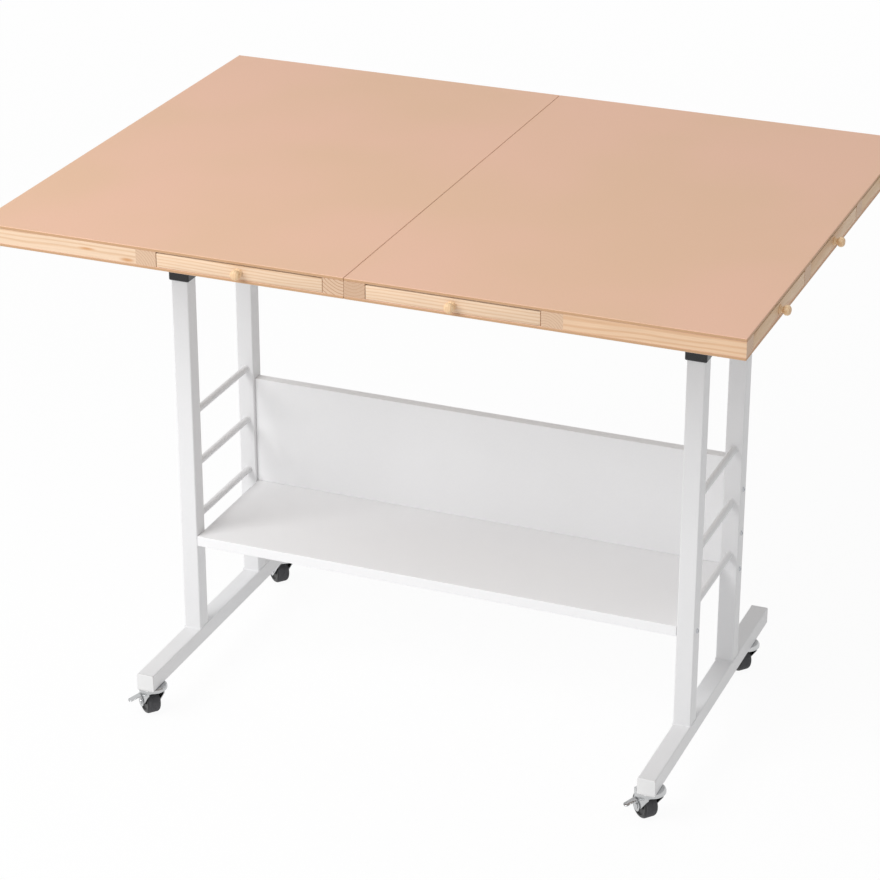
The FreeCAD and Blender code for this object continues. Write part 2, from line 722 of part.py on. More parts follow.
def hang_outline(body, top, shoulder, left, right, eye_x, eye_z, eye_dia):
    """A sketch of a plate that hangs from a straight edge and narrows to a round eye that its sides touch."""
    sketch = body.newObject("Sketcher::SketchObject", "HangOutline")
    support = next(f for f in body.Origin.OriginFeatures if f.Role == "XZ_Plane")
    sketch.AttachmentSupport = [(support, "")]
    sketch.MapMode = "FlatFace"
    eye_r = eye_dia / 2
    corners = ((left, top), (right, top), (left, top - shoulder))
    corner = [FreeCAD.Vector(x.number, z.number, 0) for x, z in corners]
    eye = FreeCAD.Vector(eye_x.number, eye_z.number, 0)
    ring = Part.Circle(eye, FreeCAD.Vector(0, 0, 1), eye_r.number)
    # The lower half of the eye's circle, which the tangent constraints then trim
    arc = Part.ArcOfCircle(ring, math.pi, 2 * math.pi)
    sketch.addGeometry(Part.LineSegment(corner[0], corner[1]))
    sketch.addGeometry(Part.LineSegment(corner[1], arc.EndPoint))
    sketch.addGeometry(arc)
    sketch.addGeometry(Part.LineSegment(arc.StartPoint, corner[2]))
    sketch.addGeometry(Part.LineSegment(corner[2], corner[0]))
    for a, a_end, b, b_end in ((0, 2, 1, 1), (3, 2, 4, 1), (4, 2, 0, 1)):
        sketch.addConstraint(Sketcher.Constraint("Coincident", a, a_end, b, b_end))
    sketch.addConstraint(Sketcher.Constraint("Tangent", 1, 2, 2, 2))
    sketch.addConstraint(Sketcher.Constraint("Tangent", 3, 1, 2, 1))
    for kind, geometry, end, value in (
            ("DistanceX", 0, 1, left), ("DistanceY", 0, 1, top),
            ("DistanceX", 0, 2, right), ("DistanceY", 0, 2, top),
            ("DistanceX", 3, 2, left), ("DistanceY", 3, 2, top - shoulder),
            ("DistanceX", 2, 3, eye_x), ("DistanceY", 2, 3, eye_z)):
        index = sketch.addConstraint(Sketcher.Constraint(kind, -1, 1, geometry, end, value.number))
        sketch.setExpression(f"Constraints[{index}]", value.text)
    index = sketch.addConstraint(Sketcher.Constraint("Radius", 2, eye_r.number))
    sketch.setExpression(f"Constraints[{index}]", eye_r.text)
    return sketch


def fork():
    """The stamped fork: a folded channel over the wheel with a round crown that turns under the race."""
    body = doc.addObject("PartDesign::Body", "Fork")
    back, nose = -size.fork_back, size.caster_trail + size.fork_nose
    cheek = hang_outline(body, FORK_TOP, size.fork_shoulder, back, nose,
                         size.caster_trail, WHEEL_R, size.fork_boss_dia)
    solid = bind(body.newObject("PartDesign::Pad", "Cheeks"), Length=2 * FORK_OUT)
    solid.Profile = cheek
    solid.SideType = "Symmetric"
    fillet(body, solid, size.fork_round, lambda e: is_cross_edge(e, back, FORK_TOP - size.fork_shoulder))
    crown = bind(body.newObject("PartDesign::AdditiveCylinder", "Crown"),
                 Radius=size.fork_crown_dia / 2, Height=size.fork_crown_thick)
    place(crown, 0, 0, FORK_TOP)
    through = nose - back
    inside = bind(body.newObject("PartDesign::SubtractiveBox", "Inside"),
                  Length=2 * through, Width=size.fork_gap, Height=FORK_ROOF)
    place(inside, -through, -size.fork_gap / 2, 0)
    stem_hole = bind(body.newObject("PartDesign::SubtractiveCylinder", "StemHole"),
                     Radius=size.stem_dia / 2 + size.running_gap, Height=FOOT_LOW)
    place(stem_hole)
    axle_hole = bind(body.newObject("PartDesign::SubtractiveCylinder", "AxleHole"),
                     Radius=size.axle_dia / 2, Height=2 * FORK_OUT)
    place(axle_hole, size.caster_trail, -FORK_OUT, WHEEL_R, ALONG_Y)
    return body


def axle():
    """The riveted axle across the fork's cheeks, long enough on its outer side for the brake lever."""
    head = size.axle_head_thick
    shaft = cylinder(size.axle_dia, FORK_OUT + AXLE_OUT, size.caster_trail, -FORK_OUT, WHEEL_R, ALONG_Y)
    inner = cylinder(size.axle_head_dia, head, size.caster_trail, -FORK_OUT - head, WHEEL_R, ALONG_Y)
    outer = cylinder(size.axle_head_dia, head, size.caster_trail, AXLE_OUT, WHEEL_R, ALONG_Y)
    return fuse([shaft, inner, outer])


def wheel():
    """A moulded wheel: rounded tread, a sunk web on both sides and a hub that reaches to the cheeks."""
    bore = size.axle_dia / 2 + size.running_gap
    hub, hub_half = size.hub_dia / 2, size.hub_length / 2
    rim, edge = WHEEL_R - size.wheel_rim, size.wheel_width / 2
    web = edge - size.wheel_web_inset
    body, turned = revolved([
        (bore, -hub_half), (hub, -hub_half), (hub, -web), (rim, -web), (rim, -edge), (WHEEL_R, -edge),
        (WHEEL_R, edge), (rim, edge), (rim, web), (hub, web), (hub, hub_half), (bore, hub_half)], "XY_Plane")
    fillet(body, turned, size.wheel_round, lambda e: is_ring(e, WHEEL_R, -edge) or is_ring(e, WHEEL_R, edge))
    return place(body, size.caster_trail, 0, WHEEL_R)


def brake_lever():
    """A side brake: an ear round the axle that widens upwards, with a pedal bent out from its top edge."""
    ear_in = FORK_OUT + size.brake_gap
    ear_r = size.brake_ear_dia / 2
    top = WHEEL_R + size.brake_pedal_rise
    left = size.caster_trail + ear_r - size.brake_pedal_width
    body = doc.addObject("PartDesign::Body", "Brake")
    plate = hang_outline(body, top, size.brake_sheet, left, left + size.brake_pedal_width,
                         size.caster_trail, WHEEL_R, size.brake_ear_dia)
    ear = bind(body.newObject("PartDesign::Pad", "Ear"), Length=size.brake_sheet)
    ear.Profile = plate
    ear.Reversed = True
    reach, drop = size.brake_pedal_reach, size.brake_pedal_drop
    low = top - size.brake_sheet
    pedal_side = outline(body, "YZ_Plane", [(0, low), (reach, low - drop), (reach, top - drop), (0, top)])
    pedal_side.setExpression("AttachmentOffset.Base.z", left.text)
    pedal = bind(body.newObject("PartDesign::Pad", "Pedal"), Length=size.brake_pedal_width)
    pedal.Profile = pedal_side
    fillet(body, pedal, size.brake_pedal_round, lambda e: is_upright_edge(e, reach))
    bore = bind(body.newObject("PartDesign::SubtractiveCylinder", "Bore"),
                Radius=size.axle_dia / 2 + size.running_gap, Height=size.brake_sheet)
    place(bore, size.caster_trail, 0, WHEEL_R, ALONG_Y)
    return place(body, 0, ear_in)


def stem(x, y):
    """The fixed half of a caster: upper race with a turned-down rim, stem with its rivet head, and nut."""
    shank, head, rim = size.stem_dia / 2, size.stem_head_dia / 2, size.race_dia / 2
    skirt_in, skirt_low = rim - size.race_skirt_wall, RACE_LOW - size.race_skirt
    head_top = FORK_ROOF - size.race_gap
    body, _ = revolved([
        (0, head_top - size.stem_head_thick), (head, head_top - size.stem_head_thick), (head, head_top),
        (shank, head_top), (shank, RACE_LOW), (skirt_in, RACE_LOW), (skirt_in, skirt_low), (rim, skirt_low),
        (rim, FOOT_LOW - size.race_skirt_wall), (rim - 2 * size.race_skirt_wall, FOOT_LOW), (shank, FOOT_LOW),
        (shank, FOOT_LOW + size.stem_length), (0, FOOT_LOW + size.stem_length)], "XZ_Plane")
    place(body, x, y)
    nut_low = FOOT_LOW + size.tube_wall
    prism = doc.addObject("Part::Prism", "Nut")
    prism.Polygon = 6
    bind(prism, Circumradius=size.nut_corner_dia / 2, Height=size.nut_thick)
    nut = cut(place(prism, x, y, nut_low), [cylinder(size.stem_dia, size.nut_thick, x, y, nut_low)])
    return [body, nut]


def make_casters():
    """Four casters. The front ones have a brake lever."""
    stems = []
    turn = 180 - size.caster_swing
    for name, x, y in caster_places():
        stems += stem(x, y)
        node(f"caster_fork_{name}", place(group([fork(), axle()]), x, y, angle=turn))
        node(f"caster_wheel_{name}", place(group([wheel()]), x, y, angle=turn))
        if name.startswith("front"):
            node(f"brake_lever_{name}", place(group([brake_lever()]), x, y, angle=turn))
    node("caster_stems", group(stems))


def write_parts():
    """Check every object and sub-part, then write one file for each sub-part."""
    doc.recompute()
    for thing in doc.Objects:
        if "Invalid" in thing.State or "Error" in thing.State:
            raise RuntimeError(f"{thing.Name} failed: {thing.State}")
    for label, thing in nodes.items():
        if thing.Shape.isNull() or not thing.Shape.isValid() or not thing.Shape.Solids:
            raise RuntimeError(f"{label} has no valid solid")
    os.makedirs("parts", exist_ok=True)
    for label, thing in nodes.items():
        thing.Shape.exportStep(f"parts/{label}.step")
    print(f"{len(nodes)} sub-parts, {sum(len(n.Shape.Solids) for n in nodes.values())} solids")


for half_side in (LEFT, RIGHT):
    make_half(half_side)
    make_leg_frame(half_side)
    make_inner_frame(half_side)
node("hinge_links", group([hinge_link(place_y) for place_y in hinge_places()]))
make_drawers()
make_foot_plugs()
make_side_bars()
make_collars()
make_shelf()
make_casters()
write_parts()
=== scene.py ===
"""Looks of a folding puzzle table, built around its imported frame.

Sizes in the classes are millimetres in the frame of the table, and become metres in the meshes. Places come
from the boxes and joints of the frame, so a piece stands where its solid stands.
"""
from __future__ import annotations

import json
import logging
import math
from dataclasses import dataclass
from enum import Enum
from typing import Any, Iterable, Sequence

import bmesh
import bpy
from bpy.types import Node, NodeSocket, NodeTree, Object
from mathutils import Matrix, Vector

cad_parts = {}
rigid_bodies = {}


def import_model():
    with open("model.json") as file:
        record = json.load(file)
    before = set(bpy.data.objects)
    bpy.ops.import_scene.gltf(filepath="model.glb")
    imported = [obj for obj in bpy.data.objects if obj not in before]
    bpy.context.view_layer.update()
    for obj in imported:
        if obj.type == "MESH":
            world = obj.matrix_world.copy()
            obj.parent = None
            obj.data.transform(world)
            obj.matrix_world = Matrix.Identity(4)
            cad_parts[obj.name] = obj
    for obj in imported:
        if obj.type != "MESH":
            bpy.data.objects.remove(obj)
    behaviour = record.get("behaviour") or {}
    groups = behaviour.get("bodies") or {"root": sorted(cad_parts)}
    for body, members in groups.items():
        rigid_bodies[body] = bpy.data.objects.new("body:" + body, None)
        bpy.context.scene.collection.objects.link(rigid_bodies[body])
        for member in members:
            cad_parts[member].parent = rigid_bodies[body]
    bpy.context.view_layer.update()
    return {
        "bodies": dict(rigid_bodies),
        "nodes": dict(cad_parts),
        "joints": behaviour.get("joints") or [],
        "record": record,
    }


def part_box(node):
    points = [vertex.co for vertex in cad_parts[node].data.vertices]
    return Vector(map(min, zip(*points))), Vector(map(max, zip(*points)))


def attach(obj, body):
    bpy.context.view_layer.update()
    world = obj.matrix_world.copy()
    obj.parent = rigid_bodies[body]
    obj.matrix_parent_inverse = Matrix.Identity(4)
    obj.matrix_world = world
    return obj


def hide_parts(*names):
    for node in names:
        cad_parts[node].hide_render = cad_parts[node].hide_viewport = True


LOG = logging.getLogger("puzzle_table")
MM = 0.001
# Type names of nodes start with one of these
FAMILIES = ("ShaderNode", "GeometryNode", "FunctionNode", "NodeGroup")
# A wave texture of scale 1 repeats every 2 pi / 20 units
WAVE_PERIOD = math.pi / 10
# Lacquer, paint, resin and plastic bend light about alike
COATING_IOR = 1.5
# Points closer than this are one point, in meshes drawn here and in copies of solids
DRAWN_MERGE = 0.0001
COPIED_MERGE = 0.002
# Faces that meet at a larger angle than this form an edge, in copies and in bent sheet
EDGE_ANGLE = math.radians(40)
DRAWERS = ("front_left", "front_right", "right_1", "right_2", "right_3")
CORNERS = ("front_left", "front_right", "rear_left", "rear_right")
SIDES = ("left", "right")

Point = tuple[float, float, float]
Spot = tuple[float, float]
Span = tuple[float, float]
Edge = tuple[int, int]


class Axis(Enum):
    """A level direction in which wood grain can run, with its place in a vector."""

    X = 0
    Y = 1


def linear(code: str) -> tuple[float, float, float, float]:
    """Turn an sRGB hex colour to linear.

    Args:
        code: Colour such as #A0B1C2.

    Returns:
        Linear red, green, blue and a full alpha.
    """
    parts = [int(code[i:i + 2], 16) / 255 for i in (1, 3, 5)]
    red, green, blue = (p / 12.92 if p <= 0.04045 else ((p + 0.055) / 1.055) ** 2.4 for p in parts)
    return red, green, blue, 1.0


def add_node(tree: NodeTree, kind: str, inputs: dict[str, object] | None = None, **settings: object) -> Node:
    """Add a node with its settings, and fill its inputs with values or links.

    Args:
        tree: Tree that gets the node.
        kind: Type name of the node, without the name of its family.
        inputs: Socket identifiers, each with a value, with the socket that feeds it, or with the node whose
            first output in use feeds it.
        settings: Properties of the node itself.

    Returns:
        The new node.
    """
    made = tree.nodes.new(next(family + kind for family in FAMILIES if hasattr(bpy.types, family + kind)))
    for key, value in settings.items():
        setattr(made, key, value)
    for key, value in (inputs or {}).items():
        socket = next(s for s in made.inputs if s.identifier == key)
        if isinstance(value, Node):
            value = next(s for s in value.outputs if s.enabled)
        if isinstance(value, NodeSocket):
            tree.links.new(value, socket)
        else:
            socket.default_value = value
    return made


def seen_rays(tree: NodeTree) -> Node:
    """Draw a mask of the rays that see the background.

    Args:
        tree: Material or world tree.

    Returns:
        A node that is 1 for camera, glossy and transmission rays, else 0.
    """
    path = add_node(tree, "LightPath").outputs
    mask = path["Is Camera Ray"]
    for kind in ("Is Glossy Ray", "Is Transmission Ray"):
        mask = add_node(tree, "Math", {"Value": mask, "Value_001": path[kind]}, operation="MAXIMUM")
    return mask


@dataclass(frozen=True)
class Finish:
    """A surface finish. Each kind draws its own nodes into a new material."""

    name: str

    def material(self) -> bpy.types.Material:
        """Make the material, or give the one that was made before.

        Returns:
            The material with this finish's name.
        """
        known = bpy.data.materials.get(self.name)
        if known:
            return known
        made = bpy.data.materials.new(self.name)
        made.use_nodes = True
        made.node_tree.nodes.clear()
        add_node(made.node_tree, "OutputMaterial", {"Surface": self.draw(made.node_tree)})
        return made

    def draw(self, tree: NodeTree) -> Node:
        """Draw the nodes of the finish and return its shader."""
        raise NotImplementedError


@dataclass(frozen=True)
class Skin:
    """How a fine grain changes the shade, roughness and relief of a surface, as its value goes up."""

    shade: Span
    rough: Span
    strength: float
    depth: float
    reach: Span = (0.3, 0.7)
    metal: float = 0.0

    def draw(self, tree: NodeTree, colour: Node | Sequence[float], tone: Node | NodeSocket,
             height: NodeSocket) -> Node:
        """Draw the shader with the grain on it.

        Args:
            tree: Tree of the material.
            colour: Colour without the grain.
            tone: Grain that changes shade and roughness.
            height: Grain that raises the surface.

        Returns:
            The shader.
        """
        start, end = self.reach
        shade, rough = (add_node(tree, "MapRange", {
            "Value": tone, "From Min": start, "From Max": end, "To Min": low, "To Max": high})
            for low, high in (self.shade, self.rough))
        shaded = add_node(tree, "VectorMath", {"Vector": colour, "Scale": shade}, operation="SCALE")
        relief = add_node(tree, "Bump", {
            "Height": height, "Strength": self.strength, "Distance": self.depth * MM})
        sockets = {"Base Color": shaded, "Roughness": rough, "Normal": relief, "Metallic": self.metal}
        if not self.metal:
            sockets["IOR"] = COATING_IOR
        return add_node(tree, "BsdfPrincipled", sockets)


@dataclass(frozen=True)
class Knot:
    """A small knot or resin streak in a board, drawn out along the grain."""

    centre: Point
    width: float
    length: float
    heart: str = "#C98B4E"


@dataclass(frozen=True)
class Pine(Finish):
    """Planed pine under thin clear lacquer.

    Pale earlywood with darker growth rings: soft lines along the grain, and ring arcs on the sawn ends, which
    drink more lacquer and so look darker and pinker.
    """

    grain: Axis
    pith: Point
    early: str = "#E9CCAF"
    late: str = "#D2A77D"
    end_early: str = "#D8B89B"
    end_late: str = "#B98D6C"
    ring: float = 3.6
    ring_depth: float = 0.5
    # Rings wander by a few millimetres over a hand's length of board
    drift: float = 9.0
    drift_across: float = 45.0
    drift_along: float = 260.0
    # Streaks of fibre are about half a millimetre wide, drawn at 1.2 mm so that they show
    fibre_width: float = 1.2
    fibre_length: float = 55.0
    knots: tuple[Knot, ...] = ()
    skin: Skin = Skin(shade=(0.91, 1.04), rough=(0.56, 0.46), strength=0.35, depth=0.15)

    def scale(self, across: float, along: float) -> list[float]:
        """Scale of a pattern with this size across the grain and along it.

        Args:
            across: Size across the grain.
            along: Size along the grain.

        Returns:
            The scale on X, Y and Z.
        """
        scale = [1 / (across * MM)] * 3
        scale[self.grain.value] = 1 / (along * MM)
        return scale

    def draw(self, tree: NodeTree) -> Node:
        """Draw rings about the pith, fibres along the grain and the sawn ends.

        Args:
            tree: Tree of the new material.

        Returns:
            The shader.
        """
        coords = add_node(tree, "TexCoord").outputs
        centred = add_node(tree, "Mapping", {
            "Vector": coords["Object"], "Location": tuple(-p * MM for p in self.pith)})
        stretched = add_node(tree, "Mapping", {
            "Vector": centred, "Scale": self.scale(self.drift_across, self.drift_along)})
        drift = add_node(tree, "TexNoise", {"Vector": stretched, "Scale": 1.0, "Detail": 2.0})
        reach = self.drift * MM
        wander = add_node(tree, "VectorMath", {
            "Vector": drift.outputs["Color"], "Vector_001": (reach,) * 3, "Vector_002": (-reach / 2,) * 3},
            operation="MULTIPLY_ADD")
        bent = add_node(tree, "VectorMath", {"Vector": centred, "Vector_001": wander}, operation="ADD")
        rings = add_node(tree, "TexWave", {
            "Vector": bent, "Scale": WAVE_PERIOD / (self.ring * MM), "Distortion": 0.6, "Detail": 1.0,
            "Detail Scale": 0.3}, wave_type="RINGS", rings_direction=self.grain.name)
        # On a sawn end each ring closes with a thin dark line, on a long side it fades in
        woods = []
        for start, early, late in ((0.4, self.early, self.late), (0.72, self.end_early, self.end_late)):
            dark = add_node(tree, "MapRange", {
                "Value": rings.outputs["Fac"], "From Min": start, "From Max": 1.0, "To Max": self.ring_depth},
                interpolation_type="SMOOTHSTEP")
            woods.append(add_node(tree, "Mix", {
                "Factor_Float": dark, "A_Color": linear(early), "B_Color": linear(late)}, data_type="RGBA"))
        long_side, sawn = woods
        for knot in self.knots:
            long_side = self.draw_knot(tree, coords["Object"], long_side, knot)
        turned = add_node(tree, "SeparateXYZ", {"Vector": coords["Normal"]})
        facing = add_node(tree, "Math", {"Value": turned.outputs[self.grain.value]}, operation="ABSOLUTE")
        is_end = add_node(tree, "MapRange", {"Value": facing, "From Min": 0.55, "From Max": 0.9})
        wood = add_node(tree, "Mix", {
            "Factor_Float": is_end, "A_Color": long_side, "B_Color": sawn}, data_type="RGBA")
        combed = add_node(tree, "Mapping", {
            "Vector": coords["Object"], "Scale": self.scale(self.fibre_width, self.fibre_length)})
        fibre = add_node(tree, "TexNoise", {
            "Vector": combed, "Scale": 1.0, "Detail": 3.0, "Roughness": 0.6}).outputs["Fac"]
        return self.skin.draw(tree, wood, fibre, fibre)

    def draw_knot(self, tree: NodeTree, place: NodeSocket, wood: Node, knot: Knot) -> Node:
        """Darken the wood in a soft streak about a knot.

        Args:
            tree: Tree of the material.
            place: Object coordinates.
            wood: Colour of the clear wood.
            knot: Place and size of the streak.

        Returns:
            The colour with the knot in it.
        """
        scale = self.scale(knot.width / 2, knot.length / 2)
        offset = tuple(-c * MM * s for c, s in zip(knot.centre, scale))
        local = add_node(tree, "Mapping", {"Vector": place, "Location": offset, "Scale": scale})
        away = add_node(tree, "VectorMath", {"Vector": local}, operation="LENGTH")
        inside = add_node(tree, "MapRange", {
            "Value": away, "From Min": 1.0, "From Max": 0.1, "To Max": 0.8}, interpolation_type="SMOOTHSTEP")
        return add_node(tree, "Mix", {
            "Factor_Float": inside, "A_Color": wood, "B_Color": linear(knot.heart)}, data_type="RGBA")


@dataclass(frozen=True)
class Hardboard(Finish):
    """Smooth tan hardboard, hot-pressed from wood fibre.

    A level satin face with broad clouds from pinkish to sandy and a faint fibre fleck, a browner sawn edge,
    and a greyer back face, as it comes from the press.
    """

    pink: str = "#E8BA9F"
    sand: str = "#E3B999"
    edge: str = "#C39A74"
    back: str = "#C9C0B9"
    cloud: float = 330.0
    # Single fibres are far under a millimetre wide, so the fleck is drawn at 2.5 mm
    fleck: float = 2.5
    skin: Skin = Skin(shade=(0.975, 1.02), rough=(0.5, 0.58), strength=0.2, depth=0.05)

    def draw(self, tree: NodeTree) -> Node:
        """Draw clouds and fleck on the face, a brown edge and the back.

        Args:
            tree: Tree of the new material.

        Returns:
            The shader.
        """
        coords = add_node(tree, "TexCoord").outputs
        clouds = add_node(tree, "TexNoise", {
            "Vector": coords["Object"], "Scale": 1 / (self.cloud * MM), "Detail": 2.0})
        is_sandy = add_node(tree, "MapRange", {
            "Value": clouds, "From Min": 0.35, "From Max": 0.65}, interpolation_type="SMOOTHSTEP")
        upward = add_node(tree, "SeparateXYZ", {"Vector": coords["Normal"]}).outputs["Z"]
        is_back = add_node(tree, "MapRange", {"Value": upward, "From Min": -0.6, "From Max": -0.9})
        level = add_node(tree, "Math", {"Value": upward}, operation="ABSOLUTE")
        is_edge = add_node(tree, "MapRange", {"Value": level, "From Min": 0.6, "From Max": 0.3})
        board = linear(self.pink)
        for share, colour in ((is_sandy, self.sand), (is_back, self.back), (is_edge, self.edge)):
            board = add_node(tree, "Mix", {
                "Factor_Float": share, "A_Color": board, "B_Color": linear(colour)}, data_type="RGBA")
        fleck = add_node(tree, "TexNoise", {
            "Vector": coords["Object"], "Scale": 1 / (self.fleck * MM), "Detail": 4.0,
            "Roughness": 0.65}).outputs["Fac"]
        return self.skin.draw(tree, board, fleck, fleck)


@dataclass(frozen=True)
class Grained(Finish):
    """A painted, moulded or plated surface with one base colour and a fine grain.

    The grain gives coated steel its orange peel, moulded plastic its spark-eroded skin, plated steel its
    cloudy sheen and board its paper texture. It varies shade, roughness and relief together.
    """

    colour: str
    rough: float
    grit: float
    relief: float
    shade: float = 0.03
    rough_spread: float = 0.08
    metal: float = 0.0
    # Tone drifts slowly over a hand's width, as coats do
    cloud: float = 90.0

    def draw(self, tree: NodeTree) -> Node:
        """Draw the grain and the slow change of tone.

        Args:
            tree: Tree of the new material.

        Returns:
            The shader.
        """
        place = add_node(tree, "TexCoord").outputs["Object"]
        grain, clouds = (add_node(tree, "TexNoise", {
            "Vector": place, "Scale": 1 / (size * MM), "Detail": detail}).outputs["Fac"]
            for size, detail in ((self.grit, 3.0), (self.cloud, 2.0)))
        tone = add_node(tree, "Math", {"Value": grain, "Value_001": clouds}, operation="ADD")
        swing = self.rough_spread / 2
        skin = Skin((1 - self.shade, 1.0), (self.rough - swing, self.rough + swing), strength=0.3,
                    depth=self.relief, reach=(0.7, 1.3), metal=self.metal)
        return skin.draw(tree, linear(self.colour)[:3], tone, grain)


@dataclass(frozen=True)
class StudioFloor(Finish):
    """Matt white floor paper that shows as white ground and keeps a soft shadow of the object."""

    paper: str = "#FCFCFC"
    ground: float = 0.94
    # Metres from the table over which the paper turns all white, so that it meets the sky without a line
    fade_from: float = 1.5
    fade_to: float = 5.0

    def draw(self, tree: NodeTree) -> Node:
        """Mix matt paper with white for rays that see the ground directly or in metal.

        Args:
            tree: Tree of the new material.

        Returns:
            The shader.
        """
        place = add_node(tree, "TexCoord").outputs["Object"]
        away = add_node(tree, "VectorMath", {"Vector": place}, operation="LENGTH")
        fade = add_node(tree, "MapRange", {
            "Value": away, "From Min": self.fade_from, "From Max": self.fade_to, "To Min": self.ground,
            "To Max": 1.0})
        share = add_node(tree, "Math", {"Value": seen_rays(tree), "Value_001": fade}, operation="MULTIPLY")
        matt = add_node(tree, "BsdfDiffuse", {"Color": linear(self.paper)})
        white = add_node(tree, "Emission", {"Strength": 1.0})
        return add_node(tree, "MixShader", {"Fac": share, "Shader": matt, "Shader_001": white})


class Finishes:
    """The finishes of the table, by the piece that wears them."""

    # Hot-pressed fibre: a level, satin, skin-toned face without grain
    hardboard = Hardboard("tan_hardboard")
    # Powder baked on steel: an even white whose faint orange peel softens each highlight
    coat = Grained("white_powder_coat", "#E8E8E9", rough=0.42, grit=1.8, relief=0.06, shade=0.025)
    # Printed paper pressed onto chipboard: a flatter, cooler and slightly glossier white than the coat
    board = Grained("white_melamine_board", "#F5F5F6", rough=0.38, grit=2.6, relief=0.03, shade=0.02)
    # Injection-moulded polythene: a softer, waxy white
    cap = Grained("white_moulded_polythene", "#E8E8E8", rough=0.5, grit=1.2, relief=0.04)
    # Moulded nylon: nearly black with a low sheen from the eroded mould
    black = Grained("black_moulded_nylon", "#17171A", rough=0.3, grit=1.0, relief=0.05, shade=0.15)
    # The wheel's hard core is smooth and black, its pressed-on rubber matt, dusty and grey
    core = Grained("black_moulded_wheel_core", "#121213", rough=0.32, grit=1.0, relief=0.03, shade=0.15)
    tread = Grained("grey_rubber_tread", "#48484B", rough=0.72, grit=0.9, relief=0.08, shade=0.25)
    # Zinc on pressed steel is cloudy and half dull, chrome on the casters bright with few clouds
    zinc = Grained("zinc_plated_steel", "#C4C6CA", rough=0.34, grit=1.6, relief=0.02, shade=0.12,
                   rough_spread=0.16, metal=1.0)
    chrome = Grained("bright_chromed_steel", "#C6C7C8", rough=0.16, grit=2.2, relief=0.01, shade=0.1,
                     rough_spread=0.1, metal=1.0)
    # Rotary-cut veneer: broad, faint bands and no end grain to see
    birch_ply = Pine("sanded_birch_plywood", Axis.X, (0, 0, 690), early="#EBCBA2", late="#D9B184", ring=17,
                     ring_depth=0.35)
    # Sawn pine: each rail is cut at another distance from the pith, so lines and end arcs differ
    seam = {side: Pine(f"pine_seam_rail_{side}", Axis.Y, (x, 0, 779), end_early=end, ring=4.2,
                       ring_depth=depth)
            for side, x, end, depth in zip(SIDES, (-9, 2), ("#D8B89B", "#CDAB8E"), (0.9, 0.5))}
    divider = {side: Pine(f"pine_divider_rail_{side}", Axis.Y, (x, 0, 738), ring=3.4)
               for side, x in zip(SIDES, (-300, 255))}
    cross = {"left": Pine("pine_cross_rails_left", Axis.X, (0, -354, 741),
                          knots=(Knot((-303, -378, 750), 8, 30), Knot((-360, -378, 757), 5, 34))),
             # The right front rails get browner early and late wood as painted shade, for their end of the
             # strip farther from the lamp
             "right": Pine("pine_cross_rails_right", Axis.X, (0, -342, 775), early="#E5C2A0", late="#CF9E74")}
    side_rail = Pine("pine_side_rail", Axis.Y, (-530, 0, 735))
    column = Pine("pine_column_rails", Axis.X, (0, 60, 740))
    drawer_x = Pine("pine_drawer_boards_across", Axis.X, (0, -352, 712))
    # Boards along Y are browner, as painted shade on the fronts of the right side's drawers, which face away
    # from the lamp
    drawer_y = Pine("pine_drawer_boards_along", Axis.Y, (40, 0, 715), early="#E3C29F", late="#CB9D74")
    # Knobs are turned with the grain along their axis, so the lines run out to the nose
    knob = {axis: Pine(f"turned_pine_{axis.name.lower()}", axis, (6, -120, 751), early="#F3D3AA",
                       late="#DDAF7C", end_early="#EBC79E", end_late="#D0A376", ring=3) for axis in Axis}
    floor = StudioFloor("studio_floor_paper")


def arc(centre: Spot, radius: float, start: float, end: float, steps: int) -> list[Spot]:
    """Points along an arc.

    Args:
        centre: Middle of the circle.
        radius: Radius of the circle.
        start: First angle in degrees.
        end: Last angle in degrees.
        steps: Number of chords.

    Returns:
        The points from start to end.
    """
    angles = [math.radians(start + (end - start) * i / steps) for i in range(steps + 1)]
    return [(centre[0] + radius * math.cos(a), centre[1] + radius * math.sin(a)) for a in angles]


def add_object(name: str, data: bpy.types.ID) -> Object:
    """Put a new object with some data in the scene, at the origin.

    Args:
        name: Name of the object.
        data: Its mesh, lamp or camera.

    Returns:
        The new object.
    """
    made = bpy.data.objects.new(name, data)
    bpy.context.scene.collection.objects.link(made)
    return made


def add_form(name: str, form: bmesh.types.BMesh) -> Object:
    """Put an edited form in the scene as an object, and free the form.

    Args:
        name: Name of the object and its mesh.
        form: The form, in metres.

    Returns:
        The new object.
    """
    mesh = bpy.data.meshes.new(name)
    form.to_mesh(mesh)
    form.free()
    return add_object(name, mesh)


